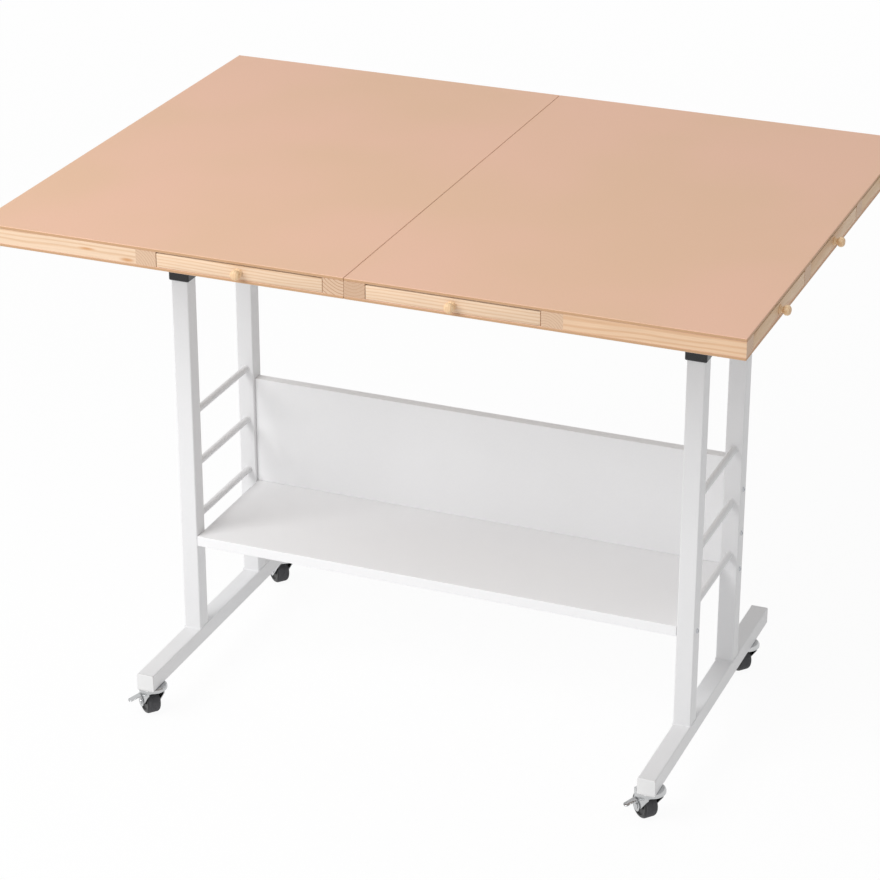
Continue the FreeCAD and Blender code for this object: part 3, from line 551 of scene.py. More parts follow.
class Mesh:
    """The mesh of one piece, drawn in millimetres in the frame of the table."""

    def __init__(self, name: str) -> None:
        """Start an empty mesh with the piece's name."""
        self.name = name
        self.form = bmesh.new()

    def board(self, low: Point, high: Point, ease: float, slot: int, frame: Matrix) -> None:
        """Add a board with rounded edges.

        Args:
            low: Lowest corner.
            high: Highest corner.
            ease: Rounding of every edge.
            slot: Material slot.
            frame: Place of the board's own axes.
        """
        known = set(self.form.faces)
        low_corner, high_corner = Vector(low), Vector(high)
        stretch = Matrix.Diagonal((*(high_corner - low_corner), 1.0))
        fit = frame @ Matrix.Translation((low_corner + high_corner) / 2) @ stretch
        corners = bmesh.ops.create_cube(self.form, size=1.0, matrix=fit)["verts"]
        edges = list({edge for corner in corners for edge in corner.link_edges})
        bmesh.ops.bevel(self.form, geom=edges, offset=ease, segments=2, profile=0.5, affect="EDGES")
        for face in set(self.form.faces) - known:
            face.material_index = slot

    def lathe(self, profile: Sequence[Spot], frame: Matrix, slots: Sequence[int] = (), steps: int = 48,
              closed: bool = False) -> None:
        """Turn an outline about the Z axis of a frame.

        Args:
            profile: Radius and height of each point, going up on the outside.
            frame: Place and direction of the axis.
            slots: Material slot of each stretch, or none for slot 0.
            steps: Number of sides.
            closed: Whether the outline returns to its start, as in a ring.
        """
        rings = []
        for radius, height in profile:
            count = steps if radius > 1e-6 else 1
            turns = [math.tau * i / steps for i in range(count)]
            ring = [Vector((radius * math.cos(a), radius * math.sin(a), height)) for a in turns]
            rings.append([self.form.verts.new(frame @ point) for point in ring])
        pairs = list(zip(rings, rings[1:]))
        if closed:
            pairs.append((rings[-1], rings[0]))
        for k, (below, above) in enumerate(pairs):
            for i in range(steps):
                corners = ((below, i), (below, i + 1), (above, i + 1), (above, i))
                around = [ring[n % len(ring)] for ring, n in corners]
                face = self.form.faces.new(list(dict.fromkeys(around)))
                face.material_index = slots[k] if slots else 0

    def done(self, finishes: Sequence[Finish], sharp: float = 35.0) -> Object:
        """Close the mesh and make it an object at the origin.

        Args:
            finishes: Finish of each material slot.
            sharp: Angle in degrees above which an edge stays sharp.

        Returns:
            The new object.
        """
        bmesh.ops.remove_doubles(self.form, verts=self.form.verts, dist=DRAWN_MERGE)
        bmesh.ops.recalc_face_normals(self.form, faces=self.form.faces)
        bmesh.ops.scale(self.form, vec=(MM,) * 3, verts=self.form.verts)
        made = add_form(self.name, self.form)
        for finish in finishes:
            made.data.materials.append(finish.material())
        made.data.shade_smooth()
        made.data.set_sharp_from_angle(angle=math.radians(sharp))
        return made


def bake(thing: Object) -> Object:
    """Turn an object's modifiers into a plain mesh.

    Args:
        thing: Object with modifiers.

    Returns:
        The same object, without modifiers.
    """
    graph = bpy.context.evaluated_depsgraph_get()
    shown = thing.evaluated_get(graph)
    mesh = bpy.data.meshes.new_from_object(shown, preserve_all_data_layers=True, depsgraph=graph)
    thing.modifiers.clear()
    thing.data = mesh
    mesh.name = thing.name
    return thing


class Growth:
    """A Geometry Nodes tree with named inputs, applied to a mesh of points or paths."""

    def __init__(self, name: str, sizes: dict[str, float]) -> None:
        """Start a tree with a geometry input, one input for each size, and a material.

        Args:
            name: Name of the tree.
            sizes: Named sizes with their values in millimetres.
        """
        self.name = name
        self.sizes = sizes
        self.tree = bpy.data.node_groups.new(name, "GeometryNodeTree")
        kinds = {"Geometry": "Geometry", **dict.fromkeys(sizes, "Float"), "Finish": "Material"}
        make = self.tree.interface.new_socket
        self.names = {label: make(label, in_out="INPUT", socket_type=f"NodeSocket{kind}").identifier
                      for label, kind in kinds.items()}
        self.result = make("Geometry", in_out="OUTPUT", socket_type="NodeSocketGeometry").identifier
        self.inputs = self.add("Input").outputs

    def add(self, kind: str, inputs: dict[str, object] | None = None, **settings: object) -> Node:
        """Add a node to the tree, as add_node does."""
        return add_node(self.tree, kind, inputs, **settings)

    def close(self, geometry: Node) -> None:
        """End the tree: make instances real, smooth them and give them the finish.

        Args:
            geometry: Node with the grown geometry.
        """
        real = self.add("RealizeInstances", {"Geometry": geometry})
        smooth = self.add("SetShadeSmooth", {"Geometry": real})
        painted = self.add("SetMaterial", {"Geometry": smooth, "Material": self.inputs["Finish"]})
        self.add("Output", {self.result: painted})

    def grow(self, name: str, points: Sequence[Point], edges: Sequence[Edge], finish: Finish,
             facing: Sequence[Point] = (), sharp: float = 35.0) -> Object:
        """Grow a piece from points or paths.

        Args:
            name: Name of the piece.
            points: Points in millimetres.
            edges: Pairs of points that are joined.
            finish: Finish of the piece.
            facing: Direction of each point, for what stands on it.
            sharp: Angle in degrees above which an edge stays sharp.

        Returns:
            The piece as a plain mesh.
        """
        mesh = bpy.data.meshes.new(name)
        mesh.from_pydata([Vector(p) * MM for p in points], edges, [])
        if facing:
            layer = mesh.attributes.new("facing", "FLOAT_VECTOR", "POINT")
            layer.data.foreach_set("vector", [c for way in facing for c in way])
        made = add_object(name, mesh)
        growth = made.modifiers.new(self.name, "NODES")
        growth.node_group = self.tree
        for size, value in self.sizes.items():
            growth[self.names[size]] = value * MM
        growth[self.names["Finish"]] = finish.material()
        bake(made)
        made.data.set_sharp_from_angle(angle=math.radians(sharp))
        return made


@dataclass
class PanScrew:
    """Pan-head screws with a cross recess, one on each given point."""

    head_dia: float = 7.0
    head_thick: float = 2.0
    recess_width: float = 1.1
    recess_length: float = 4.2
    recess_depth: float = 1.2

    def tree(self) -> Growth:
        """Build the tree: a domed head, less a cross, stood on each point.

        Returns:
            The tree, ready to grow.
        """
        made = Growth("pan_head_screws", {
            "Head Radius": self.head_dia / 2, "Head Height": self.head_thick,
            "Recess Width": self.recess_width, "Recess Length": self.recess_length,
            "Recess Depth": self.recess_depth})
        sizes = made.inputs
        radius, height = sizes["Head Radius"], sizes["Head Height"]
        ball = made.add("MeshUVSphere", {"Segments": 32, "Rings": 16, "Radius": 1.0})
        # A squared-off dome: the pan shape has a steep side and a nearly flat top
        place = made.add("InputPosition")
        apart = made.add("SeparateXYZ", {"Vector": place}).outputs
        raised = made.add("Math", {"Value": apart["Z"], "Value_001": 0.0}, operation="MAXIMUM")
        steep = made.add("Math", {"Value": raised, "Value_001": 0.45}, operation="POWER")
        wide, deep, tall = (
            made.add("Math", {"Value": share, "Value_001": size}, operation="MULTIPLY")
            for share, size in ((apart["X"], radius), (apart["Y"], radius), (steep, height)))
        shaped = made.add("CombineXYZ", {"X": wide, "Y": deep, "Z": tall})
        dome = made.add("SetPosition", {"Geometry": ball, "Position": shaped})
        head = made.add("MeshBoolean", {"Mesh 1": dome}, operation="DIFFERENCE")
        tools = next(s for s in head.inputs if s.identifier == "Mesh 2")
        sunk = made.add("Math", {"Value": sizes["Recess Depth"], "Value_001": 2.0}, operation="MULTIPLY")
        lift = made.add("CombineXYZ", {"Z": height})
        for across, along in (("Recess Length", "Recess Width"), ("Recess Width", "Recess Length")):
            extent = made.add("CombineXYZ", {"X": sizes[across], "Y": sizes[along], "Z": sunk})
            bar = made.add("MeshCube", {"Size": extent})
            raised_bar = made.add("Transform", {"Geometry": bar, "Translation": lift})
            made.tree.links.new(raised_bar.outputs["Geometry"], tools)
        way = made.add("InputNamedAttribute", {"Name": "facing"}, data_type="FLOAT_VECTOR")
        turn = made.add("AlignRotationToVector", {"Vector": way}, axis="Z")
        spin = made.add("RandomValue", {"Max_001": math.tau, "Seed": 7}, data_type="FLOAT")
        own = made.add("AxisAngleToRotation", {"Axis": (0, 0, 1), "Angle": spin})
        both = made.add("RotateRotation", {"Rotation": turn, "Rotate By": own}, rotation_space="LOCAL")
        made.close(made.add("InstanceOnPoints", {
            "Points": sizes["Geometry"], "Instance": head, "Rotation": both}))
        return made


@dataclass
class RoundBars:
    """Round bars, one along each edge of a mesh."""

    dia: float = 10.0

    def tree(self) -> Growth:
        """Build the tree: each edge becomes a capped round bar.

        Returns:
            The tree, ready to grow.
        """
        made = Growth("round_bars", {"Bar Radius": self.dia / 2})
        path = made.add("MeshToCurve", {"Mesh": made.inputs["Geometry"]})
        ring = made.add("CurvePrimitiveCircle", {"Resolution": 40, "Radius": made.inputs["Bar Radius"]})
        made.close(made.add("CurveToMesh", {"Curve": path, "Profile Curve": ring, "Fill Caps": True}))
        return made


@dataclass
class WeldBead:
    """Uneven weld beads along closed paths, as they show through a powder coat."""

    size: float = 2.4
    ripple: float = 0.35
    ripple_length: float = 3.0
    step: float = 1.5

    def tree(self) -> Growth:
        """Build the tree: a small round bead along each path, pushed about by a fixed noise.

        Returns:
            The tree, ready to grow.
        """
        made = Growth("weld_beads", {"Bead Radius": self.size / 2, "Ripple": self.ripple, "Step": self.step})
        path = made.add("MeshToCurve", {"Mesh": made.inputs["Geometry"]})
        even = made.add("ResampleCurve", {"Curve": path, "Length": made.inputs["Step"]}, mode="LENGTH")
        ring = made.add("CurvePrimitiveCircle", {"Resolution": 10, "Radius": made.inputs["Bead Radius"]})
        bead = made.add("CurveToMesh", {"Curve": even, "Profile Curve": ring})
        place = made.add("InputPosition")
        noise = made.add("TexNoise", {
            "Vector": place, "Scale": 1 / (self.ripple_length * MM), "Detail": 1.0})
        swell = made.add("MapRange", {
            "Value": noise, "From Min": 0.3, "From Max": 0.7, "To Min": -1.0, "To Max": 1.0})
        push = made.add("Math", {"Value": swell, "Value_001": made.inputs["Ripple"]}, operation="MULTIPLY")
        out = made.add("InputNormal")
        move = made.add("VectorMath", {"Vector": out, "Scale": push}, operation="SCALE")
        made.close(made.add("SetPosition", {"Geometry": bead, "Offset": move}))
        return made


def closed_paths(loops: Iterable[Sequence[Point]]) -> tuple[list[Point], list[Edge]]:
    """Join loops of points to one mesh of closed paths.

    Args:
        loops: Corner points of each loop.

    Returns:
        All points, and the edges that close each loop.
    """
    points: list[Point] = []
    edges: list[Edge] = []
    for loop in loops:
        first, count = len(points), len(loop)
        points.extend(loop)
        edges.extend((first + i, first + (i + 1) % count) for i in range(count))
    return points, edges


def box_mm(node: str) -> tuple[Vector, Vector]:
    """Lowest and highest corner of a node, in millimetres."""
    low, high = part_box(node)
    return low / MM, high / MM


def settle(piece: Object, body: str, slot: str, *nodes: str) -> None:
    """Let a finished piece ride on a body in place of its solids, and log it.

    Args:
        piece: The finished piece.
        body: Body that carries it.
        slot: Material slot of the record; not used.
        nodes: Solids that the piece stands for.
    """
    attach(piece, body)
    if nodes:
        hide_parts(*nodes)
    LOG.info("%s rides on %s, %d faces", piece.name, body, len(piece.data.polygons))


@dataclass
class Dressed:
    """A sub-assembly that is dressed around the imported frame."""

    frame: dict[str, Any]

    def dress(self, node: str, finish: Finish) -> None:
        """Give a solid that stays in view its finish.

        Args:
            node: Name of the solid.
            finish: Finish to wear.
        """
        for holder in self.frame["nodes"][node].material_slots:
            holder.material = finish.material()
        LOG.info("%s wears %s", node, finish.name)

    def settle_copy(self, node: str, make: str, finish: Finish, body: str, slot: str) -> None:
        """Copy a solid as one welded mesh with smooth rounds and level flats, in place of the solid.

        Args:
            node: Name of the solid.
            make: How the piece is made, which starts the copy's name.
            finish: Finish of the copy.
            body: Body that carries it.
            slot: Material slot of the record.
        """
        form = bmesh.new()
        form.from_mesh(self.frame["nodes"][node].data)
        bmesh.ops.remove_doubles(form, verts=form.verts, dist=COPIED_MERGE * MM)
        made = add_form(f"{make}_{node}", form)
        made.data.materials.clear()
        made.data.materials.append(finish.material())
        made.data.shade_smooth()
        made.data.set_sharp_from_angle(angle=EDGE_ANGLE)
        level = made.modifiers.new("level flats", "WEIGHTED_NORMAL")
        level.keep_sharp = True
        settle(bake(made), body, slot, node)

    def pivot(self, joint: str) -> Vector:
        """Place of a joint of the frame, in millimetres."""
        return Vector(next(j for j in self.frame["joints"] if j["name"] == joint)["pos_m"]) / MM


@dataclass
class Top(Dressed):
    """The two halves of the top: boards, rails and concealed hinges."""

    def build(self) -> None:
        """Dress the solids of both halves."""
        for side in SIDES:
            for board in ("top_board", "bottom_board"):
                self.dress(f"{board}_{side}", Finishes.hardboard)
            self.dress(f"seam_rail_{side}", Finishes.seam[side])
            self.dress(f"divider_rail_{side}", Finishes.divider[side])
            self.dress(f"cross_rails_{side}", Finishes.cross[side])
            self.dress(f"column_rails_{side}", Finishes.column)
            self.dress(f"hinge_cases_{side}", Finishes.zinc)
        self.dress("side_rail_left", Finishes.side_rail)
        self.dress("hinge_links", Finishes.zinc)


@dataclass
class Drawer(Dressed):
    """A drawer: a lacquered front, two sides, a back and a plywood floor, with a turned knob."""

    name: str = ""
    front_thick: float = 12.0
    wall: float = 6.0
    floor_thick: float = 2.5
    side_drop: float = 2.0
    front_ease: float = 0.9
    wall_ease: float = 0.5
    floor_ease: float = 0.2
    knob_reach: float = 14.0
    knob_head: float = 13.0
    knob_flange: float = 11.5
    knob_waist: float = 7.5
    flange_round: float = 0.8
    waist_height: float = 3.7
    waist_round: float = 2.0
    back_height: float = 8.1
    back_round: float = 2.3
    nose_round: float = 4.4

    @property
    def heading(self) -> float:
        """Turn of the drawer about Z, from facing -Y, in radians."""
        return {"front": 0.0, "right": math.pi / 2}[self.name.split("_")[0]]

    def build(self) -> None:
        """Build the box and the knob of the drawer."""
        self.build_box()
        self.build_knob()

    def build_box(self) -> None:
        """Build the five boards, each with the grain along its length."""
        low, high = box_mm(f"drawer_{self.name}")
        middle, extent = (low + high) / 2, high - low
        across, depth = (extent.x, extent.y) if self.heading == 0 else (extent.y, extent.x)
        frame = Matrix.Translation((middle.x, middle.y, low.z)) @ Matrix.Rotation(self.heading, 4, "Z")
        side, front, back = across / 2, -depth / 2, depth / 2
        inner, tall = side - self.wall, extent.z
        low_wall = tall - self.side_drop
        behind, before = front + self.front_thick, back - self.wall
        box = Mesh(f"drawer_box_{self.name}")
        box.board((-side, front, 0), (side, behind, tall), self.front_ease, 0, frame)
        box.board((-side, behind, 0), (-inner, back, low_wall), self.wall_ease, 1, frame)
        box.board((inner, behind, 0), (side, back, low_wall), self.wall_ease, 1, frame)
        box.board((-inner, before, 0), (inner, back, low_wall), self.wall_ease, 0, frame)
        box.board((-inner, behind, 0), (inner, before, self.floor_thick), self.floor_ease, 2, frame)
        # The boards along Y wear the browner pine that paints shade on the right side's drawer fronts
        woods = [Finishes.drawer_x, Finishes.drawer_y]
        if self.heading:
            woods.reverse()
        piece = box.done([*woods, Finishes.birch_ply])
        settle(piece, f"drawer_{self.name}", "pine", f"drawer_{self.name}")

    def build_knob(self) -> None:
        """Turn the knob: flange, hollowed waist and ball-nosed head."""
        low, high = box_mm(f"knob_{self.name}")
        middle = (low + high) / 2
        out = Matrix.Rotation(self.heading, 4, "Z") @ Vector((0, -1, 0))
        foot = middle - out * self.knob_reach / 2
        frame = Matrix.Translation(foot) @ out.to_track_quat("Z", "Y").to_matrix().to_4x4()
        head, flange, waist = self.knob_head / 2, self.knob_flange / 2, self.knob_waist / 2
        reach, nose, lip = self.knob_reach, self.nose_round, self.flange_round
        profile = [(0, 0), (flange - lip / 2, 0)]
        profile += arc((flange - lip, lip), lip, -60, 75, 4)
        profile += arc((waist + self.waist_round, self.waist_height), self.waist_round, 230, 140, 6)
        profile += arc((head - self.back_round, self.back_height), self.back_round, -75, 0, 5)
        profile += arc((head - nose, reach - nose), nose, 0, 90, 9)
        profile.append((0, reach))
        knob = Mesh(f"drawer_knob_{self.name}")
        knob.lathe(profile, frame)
        grain = Axis.Y if self.heading == 0 else Axis.X
        piece = knob.done([Finishes.knob[grain]], sharp=50)
        settle(piece, f"drawer_{self.name}", "pine", f"knob_{self.name}")


@dataclass
class Stand(Dressed):
    """The welded leg frames with shelf, back panel, collars, screws and sliding inner frames."""

    bar_dia: float = 10.0
    post_side: float = 25.0
    inner_side: float = 20.0
    plate_thick: float = 4.0
    panel_screw_inset: float = 48.0
    screw_head_dia: float = 7.0
    screw_head_thick: float = 2.0

    def build(self) -> None:
        """Build the stand from the feet up."""
        self.build_tubes()
        self.build_bars()
        self.build_welds()
        self.build_screws()
        self.dress("shelf", Finishes.board)
        self.dress("back_panel", Finishes.board)

    def build_tubes(self) -> None:
        """Copy the coated tubes, the moulded caps, the collars and the clamping knobs."""
        for side in SIDES:
            for node, body in (("foot", "stand"), ("posts", "stand"), ("inner_frame", f"lift_{side}")):
                self.settle_copy(f"{node}_{side}", "coated", Finishes.coat, body, "white_metal")
        self.settle_copy("foot_plugs", "moulded", Finishes.cap, "stand", "white_plastic")
        self.settle_copy("collars", "moulded", Finishes.black, "stand", "black_plastic")
        for corner in CORNERS:
            node = f"clamp_knob_{corner}"
            self.settle_copy(node, "moulded", Finishes.black, node, "black_plastic")

    def bar_ends(self) -> list[tuple[Point, Point]]:
        """Find the axes of the side bars.

        Returns:
            Front and rear end of each bar's axis.
        """
        low, high = box_mm("side_bars")
        reach = self.bar_dia / 2
        levels = (low.z + reach, (low.z + high.z) / 2, high.z - reach)
        return [((x, low.y, z), (x, high.y, z)) for x in (low.x + reach, high.x - reach) for z in levels]

    def build_bars(self) -> None:
        """Grow the six side bars along their axes."""
        points = [end for bar in self.bar_ends() for end in bar]
        edges = [(i, i + 1) for i in range(0, len(points), 2)]
        bars = RoundBars(self.bar_dia).tree().grow("coated_side_bars", points, edges, Finishes.coat, sharp=50)
        settle(bars, "stand", "white_metal", "side_bars")

    def square_loop(self, x: float, y: float, z: float, side: float) -> list[Point]:
        """Corners of a level square about a point."""
        half = side / 2
        return [(x + u * half, y + v * half, z) for u, v in ((-1, -1), (1, -1), (1, 1), (-1, 1))]

    def build_welds(self) -> None:
        """Grow weld beads round the bars, the feet of the posts and the heads of the inner posts."""
        # A ring in steps of 15 degrees, which closed_paths joins at its ends
        ring = arc((0, 0), self.bar_dia / 2, 0, 345, 23)
        ends = [end for bar in self.bar_ends() for end in bar]
        loops = {"stand": [[(x + u, y, z + v) for u, v in ring] for x, y, z in ends]}
        for side in SIDES:
            low, high = box_mm(f"posts_{side}")
            x = (low.x + high.x) / 2
            rows = (low.y + self.post_side / 2, high.y - self.post_side / 2)
            top = box_mm(f"inner_frame_{side}")[1].z - self.plate_thick
            loops["stand"] += [self.square_loop(x, y, low.z, self.post_side) for y in rows]
            loops[f"lift_{side}"] = [self.square_loop(x, y, top, self.inner_side) for y in rows]
        bead = WeldBead().tree()
        for body, paths in loops.items():
            name = f"weld_beads_{body.removeprefix('lift_')}"
            piece = bead.grow(name, *closed_paths(paths), Finishes.coat, sharp=80)
            settle(piece, body, "white_metal")

    def build_screws(self) -> None:
        """Grow the screws of the shelf and panel, and those of the left head plate."""
        screws = PanScrew(self.screw_head_dia, self.screw_head_thick).tree()
        shelf_low, shelf_high = box_mm("shelf")
        panel_low, panel_high = box_mm("back_panel")
        shelf_z = (shelf_low.z + shelf_high.z) / 2
        panel_levels = (panel_low.z + self.panel_screw_inset, panel_high.z - self.panel_screw_inset)
        points: list[Point] = []
        facing: list[Point] = []
        for side, way in zip(SIDES, (-1, 1)):
            low, high = box_mm(f"posts_{side}")
            face = low.x if way < 0 else high.x
            front, rear = low.y + self.post_side / 2, high.y - self.post_side / 2
            points += [(face, front, shelf_z), *((face, rear, z) for z in (shelf_z, *panel_levels))]
            facing += [(way, 0, 0)] * 4
        piece = screws.grow("post_screws", points, [], Finishes.zinc, facing)
        settle(piece, "stand", "steel", "stand_screws")
        low, high = box_mm("head_screws")
        reach = self.screw_head_dia / 2
        seat = low.z + self.screw_head_thick
        columns, rows = ((start + reach, end - reach) for start, end in zip(low.xy, high.xy))
        points = [(x, y, seat) for x in columns for y in rows]
        piece = screws.grow("head_plate_screws", points, [], Finishes.zinc, [(0, 0, -1)] * 4)
        settle(piece, "lift_left", "steel", "head_screws")


@dataclass
class Caster(Dressed):
    """A swivel caster: pressed fork with riveted axle, moulded wheel and, in front, a side brake."""

    name: str = ""
    trail: float = 13.0
    wheel_dia: float = 38.0
    wheel_width: float = 20.0
    wheel_rim: float = 5.5
    wheel_round: float = 4.2
    # The tyre clears the floor by a hair, and a shallow mould line runs round its middle
    floor_gap: float = 0.02
    line_depth: float = 0.25
    web_inset: float = 2.0
    hub_dia: float = 11.0
    hub_length: float = 21.4
    running_gap: float = 0.05
    axle_dia: float = 5.0
    axle_head_dia: float = 8.0
    axle_head_thick: float = 1.2
    axle_out: float = 14.3
    fork_gap: float = 22.0
    sheet: float = 1.5
    sheet_ease: float = 0.4
    fork_boss_dia: float = 14.0
    fork_back: float = 13.0
    fork_shoulder: float = 4.0
    fork_nose: float = 9.0
    fork_round: float = 2.75
    fork_top: float = 43.0
    crown_dia: float = 36.0
    crown_bore: float = 8.2
    crown_thick: float = 3.0
    crown_sink: float = 0.05
    crown_ease_low: float = 0.7
    crown_ease_high: float = 1.1

    @property
    def frame_matrix(self) -> Matrix:
        """Place of the caster: its stem on Z, with the wheel trailing along X.

        Returns:
            The matrix from the caster's own frame to that of the table.
        """
        stem, axle = (self.pivot(f"caster_{self.name}_{motion}") for motion in ("swivel", "roll"))
        turn = math.atan2(axle.y - stem.y, axle.x - stem.x)
        return Matrix.Translation((stem.x, stem.y, 0)) @ Matrix.Rotation(turn, 4, "Z")

    @property
    def axle_matrix(self) -> Matrix:
        """Place of the axle: Z along it, towards the brake's side."""
        across = Matrix.Rotation(-math.pi / 2, 4, "X")
        return self.frame_matrix @ Matrix.Translation((self.trail, 0, self.wheel_dia / 2)) @ across

    def build(self) -> None:
        """Build the wheel, the fork and, on a front caster, the brake lever."""
        self.build_wheel()
        self.build_fork()
        if self.name.startswith("front"):
            node = f"brake_lever_{self.name}"
            self.settle_copy(node, "pressed", Finishes.chrome, node, "chrome")

    def build_wheel(self) -> None:
        """Turn the wheel: rubber tread with a mould line, sunk web and hub."""
        radius, edge, turn = self.wheel_dia / 2 - self.floor_gap, self.wheel_width / 2, self.wheel_round
        rim, web, line = radius - self.wheel_rim, edge - self.web_inset, self.line_depth
        bore, hub, long = self.axle_dia / 2 + self.running_gap, self.hub_dia / 2, self.hub_length / 2
        # The small steps ease the rim's lip, the web's corners and the hub's end
        half = [(rim, edge - 0.3), (rim - 0.3, edge - 0.8), (rim - 0.7, web + 0.2), (rim - 1.2, web),
                (hub + 0.8, web), (hub + 0.2, web + 0.3), (hub, web + 0.8), (hub, long - 0.4),
                (hub - 0.4, long), (bore, long)]
        groove = [(radius - line, 0), (radius - line, line), (radius, 2 * line)]
        shoulder = arc((radius - turn, edge - turn), turn, 0, 90, 9)
        upper = [*groove, *shoulder, (rim + 0.6, edge), *half]
        profile = [(r, -h) for r, h in reversed(upper[1:])] + upper
        # The rubber ends half way round each shoulder
        tread_from = len(half) + 1 + len(shoulder) // 2
        tread_to = len(profile) - tread_from - 1
        slots = [0 if tread_from <= i < tread_to else 1 for i in range(len(profile))]
        wheel = Mesh(f"moulded_wheel_{self.name}")
        wheel.lathe(profile, self.axle_matrix, slots, steps=64, closed=True)
        piece = wheel.done([Finishes.tread, Finishes.core])
        settle(piece, f"caster_wheel_{self.name}", "black_wheel", f"caster_wheel_{self.name}")

    def cheek(self) -> list[Spot]:
        """Draw a cheek of the fork: a straight top, and sides that run down to a round boss.

        Returns:
            The outline in X and Z.
        """
        eye = Vector((self.trail, self.wheel_dia / 2))
        boss = self.fork_boss_dia / 2
        top = self.fork_top - self.sheet / 2
        nose = Vector((self.trail + self.fork_nose, top))
        corner = Vector((-self.fork_back, self.fork_top - self.fork_shoulder))
        # Each side runs down to the boss and touches it at this angle
        right, left = (
            math.degrees(math.atan2(way.y, way.x) + sign * math.acos(boss / way.length))
            for way, sign in ((nose - eye, -1), (corner - eye, 1)))
        last = eye + boss * Vector((math.cos(math.radians(left)), math.sin(math.radians(left))))
        # The back corner is rounded by a curve that starts and ends this far from it
        inset = self.fork_round
        below, above = corner + (last - corner).normalized() * inset, corner + Vector((0, inset))
        rounded = [tuple(below * (1 - t) ** 2 + corner * 2 * t * (1 - t) + above * t ** 2)
                   for t in (0, 0.25, 0.5, 0.75, 1)]
        return [(-self.fork_back, top), tuple(nose), *arc(tuple(eye), boss, right, left - 360, 14), *rounded]

    def bent_sheet(self, name: str) -> Object:
        """Bend the fork's two cheeks and its bridge from one sheet.

        Args:
            name: Name of the sheet.

        Returns:
            The sheet with its thickness and eased edges, in the caster's own frame.
        """
        half = self.fork_gap / 2 + self.sheet / 2
        form = bmesh.new()
        cheeks = [[form.verts.new(Vector((x, y, z)) * MM) for x, z in self.cheek()] for y in (-half, half)]
        for outline in (*cheeks, [cheeks[0][0], cheeks[0][1], cheeks[1][1], cheeks[1][0]]):
            form.faces.new(outline)
        bmesh.ops.recalc_face_normals(form, faces=form.faces)
        sheet = add_form(name, form)
        thick = sheet.modifiers.new("sheet", "SOLIDIFY")
        thick.thickness = self.sheet * MM
        thick.offset = 0
        thick.use_even_offset = True
        bend = sheet.modifiers.new("bends and edges", "BEVEL")
        bend.width = self.sheet_ease * MM
        bend.segments = 2
        bend.angle_limit = EDGE_ANGLE
        return bake(sheet)

    def build_fork(self) -> None:
        """Join the bent sheet with its crown and the riveted axle."""
        fork = Mesh(f"pressed_fork_{self.name}")
        sheet = self.bent_sheet(fork.name)
        fork.form.from_mesh(sheet.data)
        bpy.data.objects.remove(sheet)
        placed = self.frame_matrix @ Matrix.Scale(1 / MM, 4)
        bmesh.ops.transform(fork.form, matrix=placed, verts=fork.form.verts)
        outer, inner = self.crown_dia / 2, self.crown_bore / 2
        low, high = self.fork_top - self.crown_sink, self.fork_top + self.crown_thick
        under, over = self.crown_ease_low, self.crown_ease_high
        fork.lathe([(inner, low), (outer - under, low), (outer, low + under), (outer, high - over),
                    (outer - over, high), (inner, high)], self.frame_matrix, closed=True)
        shaft, rivet, dome = self.axle_dia / 2, self.axle_head_dia / 2, self.axle_head_thick
        inside, outside = -self.fork_gap / 2 - self.sheet, self.axle_out
        # A low dome, steep at its rim and flat in the middle
        head = [(rivet, 0), (rivet * 0.9, dome * 0.6), (rivet * 0.55, dome), (0, dome)]
        fork.lathe([*((r, inside - h) for r, h in reversed(head)), (shaft, inside), (shaft, outside),
                    *((r, outside + h) for r, h in head)], self.axle_matrix, steps=32)
        piece = fork.done([Finishes.chrome])
        settle(piece, f"caster_fork_{self.name}", "chrome", f"caster_fork_{self.name}")


@dataclass
class CasterStems(Dressed):
    """The fixed halves of the four casters: race, stem and nut."""

    foot_low: float = 50.0
    race_dia: float = 41.0
    race_thick: float = 3.7
    race_round: float = 3.0
    skirt: float = 1.8
    skirt_wall: float = 1.5
    skirt_ease: float = 0.4
    stem_dia: float = 8.0
    stem_top: float = 62.0
    stem_ease: float = 0.6
    head_dia: float = 12.0
    head_top: float = 41.2
    head_thick: float = 2.0
    nut_corner_dia: float = 15.0
    nut_low: float = 51.5
    nut_thick: float = 6.5
    nut_gap: float = 0.02

    def build(self) -> None:
        """Turn race and stem as one, with a hexagon nut over the foot's wall."""
        rim, shank, head = self.race_dia / 2, self.stem_dia / 2, self.head_dia / 2
        race_low, head_low = self.foot_low - self.race_thick, self.head_top - self.head_thick
        skirt_low, skirt_in = race_low - self.skirt, rim - self.skirt_wall
        ease, turn = self.stem_ease, self.race_round
        profile = [(0, head_low), (head - ease, head_low), (head, head_low + ease), (head, self.head_top),
                   (shank, self.head_top), (shank, race_low), (skirt_in, race_low), (skirt_in, skirt_low),
                   (rim - self.skirt_ease, skirt_low), (rim, skirt_low + self.skirt_ease),
                   *arc((rim - turn, self.foot_low - turn), turn, 0, 90, 6), (shank, self.foot_low),
                   (shank, self.stem_top - ease), (shank - ease, self.stem_top), (0, self.stem_top)]
        corner, bore = self.nut_corner_dia / 2, shank + self.nut_gap
        low, high = self.nut_low, self.nut_low + self.nut_thick
        nut = [(bore, low), (corner, low), (corner, high), (bore, high)]
        stems = Mesh("caster_races_and_stems")
        for name in CORNERS:
            stem = self.pivot(f"caster_{name}_swivel")
            frame = Matrix.Translation((stem.x, stem.y, 0))
            stems.lathe(profile, frame)
            stems.lathe(nut, frame, steps=6, closed=True)
        settle(stems.done([Finishes.chrome]), "stand", "steel", "caster_stems")


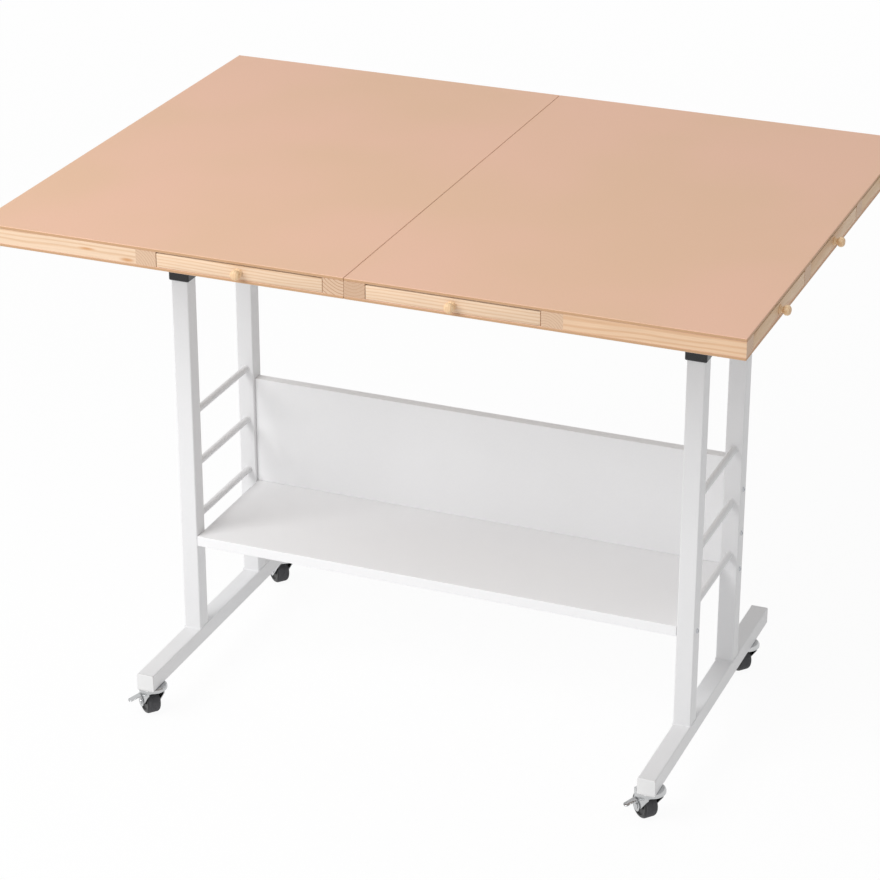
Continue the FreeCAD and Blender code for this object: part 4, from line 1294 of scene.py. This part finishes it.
@dataclass
class Studio:
    """White floor, soft daylight and a camera at the photograph's place. Lengths are metres here."""

    floor_half: float = 9.0
    ambient: float = 0.56
    key_place: Point = (-1.8, -2.6, 2.9)
    key_aim: Point = (0.0, -0.1, 0.6)
    key_size: float = 2.4
    key_power: float = 95.0
    camera_place: Point = (1.3497, -3.4089, 2.0809)
    camera_tilt: float = 65.28
    camera_roll: float = -0.03
    camera_turn: float = 22.1
    camera_lens: float = 119.94
    camera_sensor: float = 36.0

    def build(self) -> None:
        """Set up floor, light and camera."""
        bpy.context.scene.view_settings.view_transform = "Standard"
        self.build_floor()
        self.build_light()
        self.build_camera()

    def build_floor(self) -> None:
        """Lay a square of white paper under the table."""
        half = self.floor_half
        mesh = bpy.data.meshes.new("studio_floor")
        corners = [(-half, -half, 0), (half, -half, 0), (half, half, 0), (-half, half, 0)]
        mesh.from_pydata(corners, [], [(0, 1, 2, 3)])
        mesh.materials.append(Finishes.floor.material())
        add_object("studio_floor", mesh)

    def build_light(self) -> None:
        """Light the table with a white sky and one large soft lamp from the left front."""
        world = bpy.data.worlds.new("studio_sky")
        world.use_nodes = True
        tree = world.node_tree
        tree.nodes.clear()
        level = add_node(tree, "MapRange", {
            "Value": seen_rays(tree), "To Min": self.ambient, "To Max": 1.0})
        sky = add_node(tree, "Background", {"Color": linear("#FFFFFF"), "Strength": level})
        add_node(tree, "OutputWorld", {"Surface": sky})
        bpy.context.scene.world = world
        lamp = bpy.data.lights.new("key_lamp", "AREA")
        lamp.energy = self.key_power
        lamp.size = self.key_size
        key = add_object("key_lamp", lamp)
        key.location = self.key_place
        aim = Vector(self.key_aim) - Vector(self.key_place)
        key.rotation_euler = aim.to_track_quat("-Z", "Y").to_euler()

    def build_camera(self) -> None:
        """Stand the camera where the photograph was taken from."""
        lens = bpy.data.cameras.new("photo_camera")
        lens.sensor_width = self.camera_sensor
        lens.lens = self.camera_lens
        camera = add_object("photo_camera", lens)
        camera.location = self.camera_place
        turns = (self.camera_tilt, self.camera_roll, self.camera_turn)
        camera.rotation_euler = [math.radians(turn) for turn in turns]
        bpy.context.scene.camera = camera


def main() -> None:
    """Load the frame and build each sub-assembly around it."""
    logging.basicConfig(level=logging.INFO, format="%(name)s: %(message)s")
    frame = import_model()
    Top(frame).build()
    for name in DRAWERS:
        Drawer(frame, name).build()
    Stand(frame).build()
    CasterStems(frame).build()
    for name in CORNERS:
        Caster(frame, name).build()
    Studio().build()


if __name__ == "__main__":
    main()
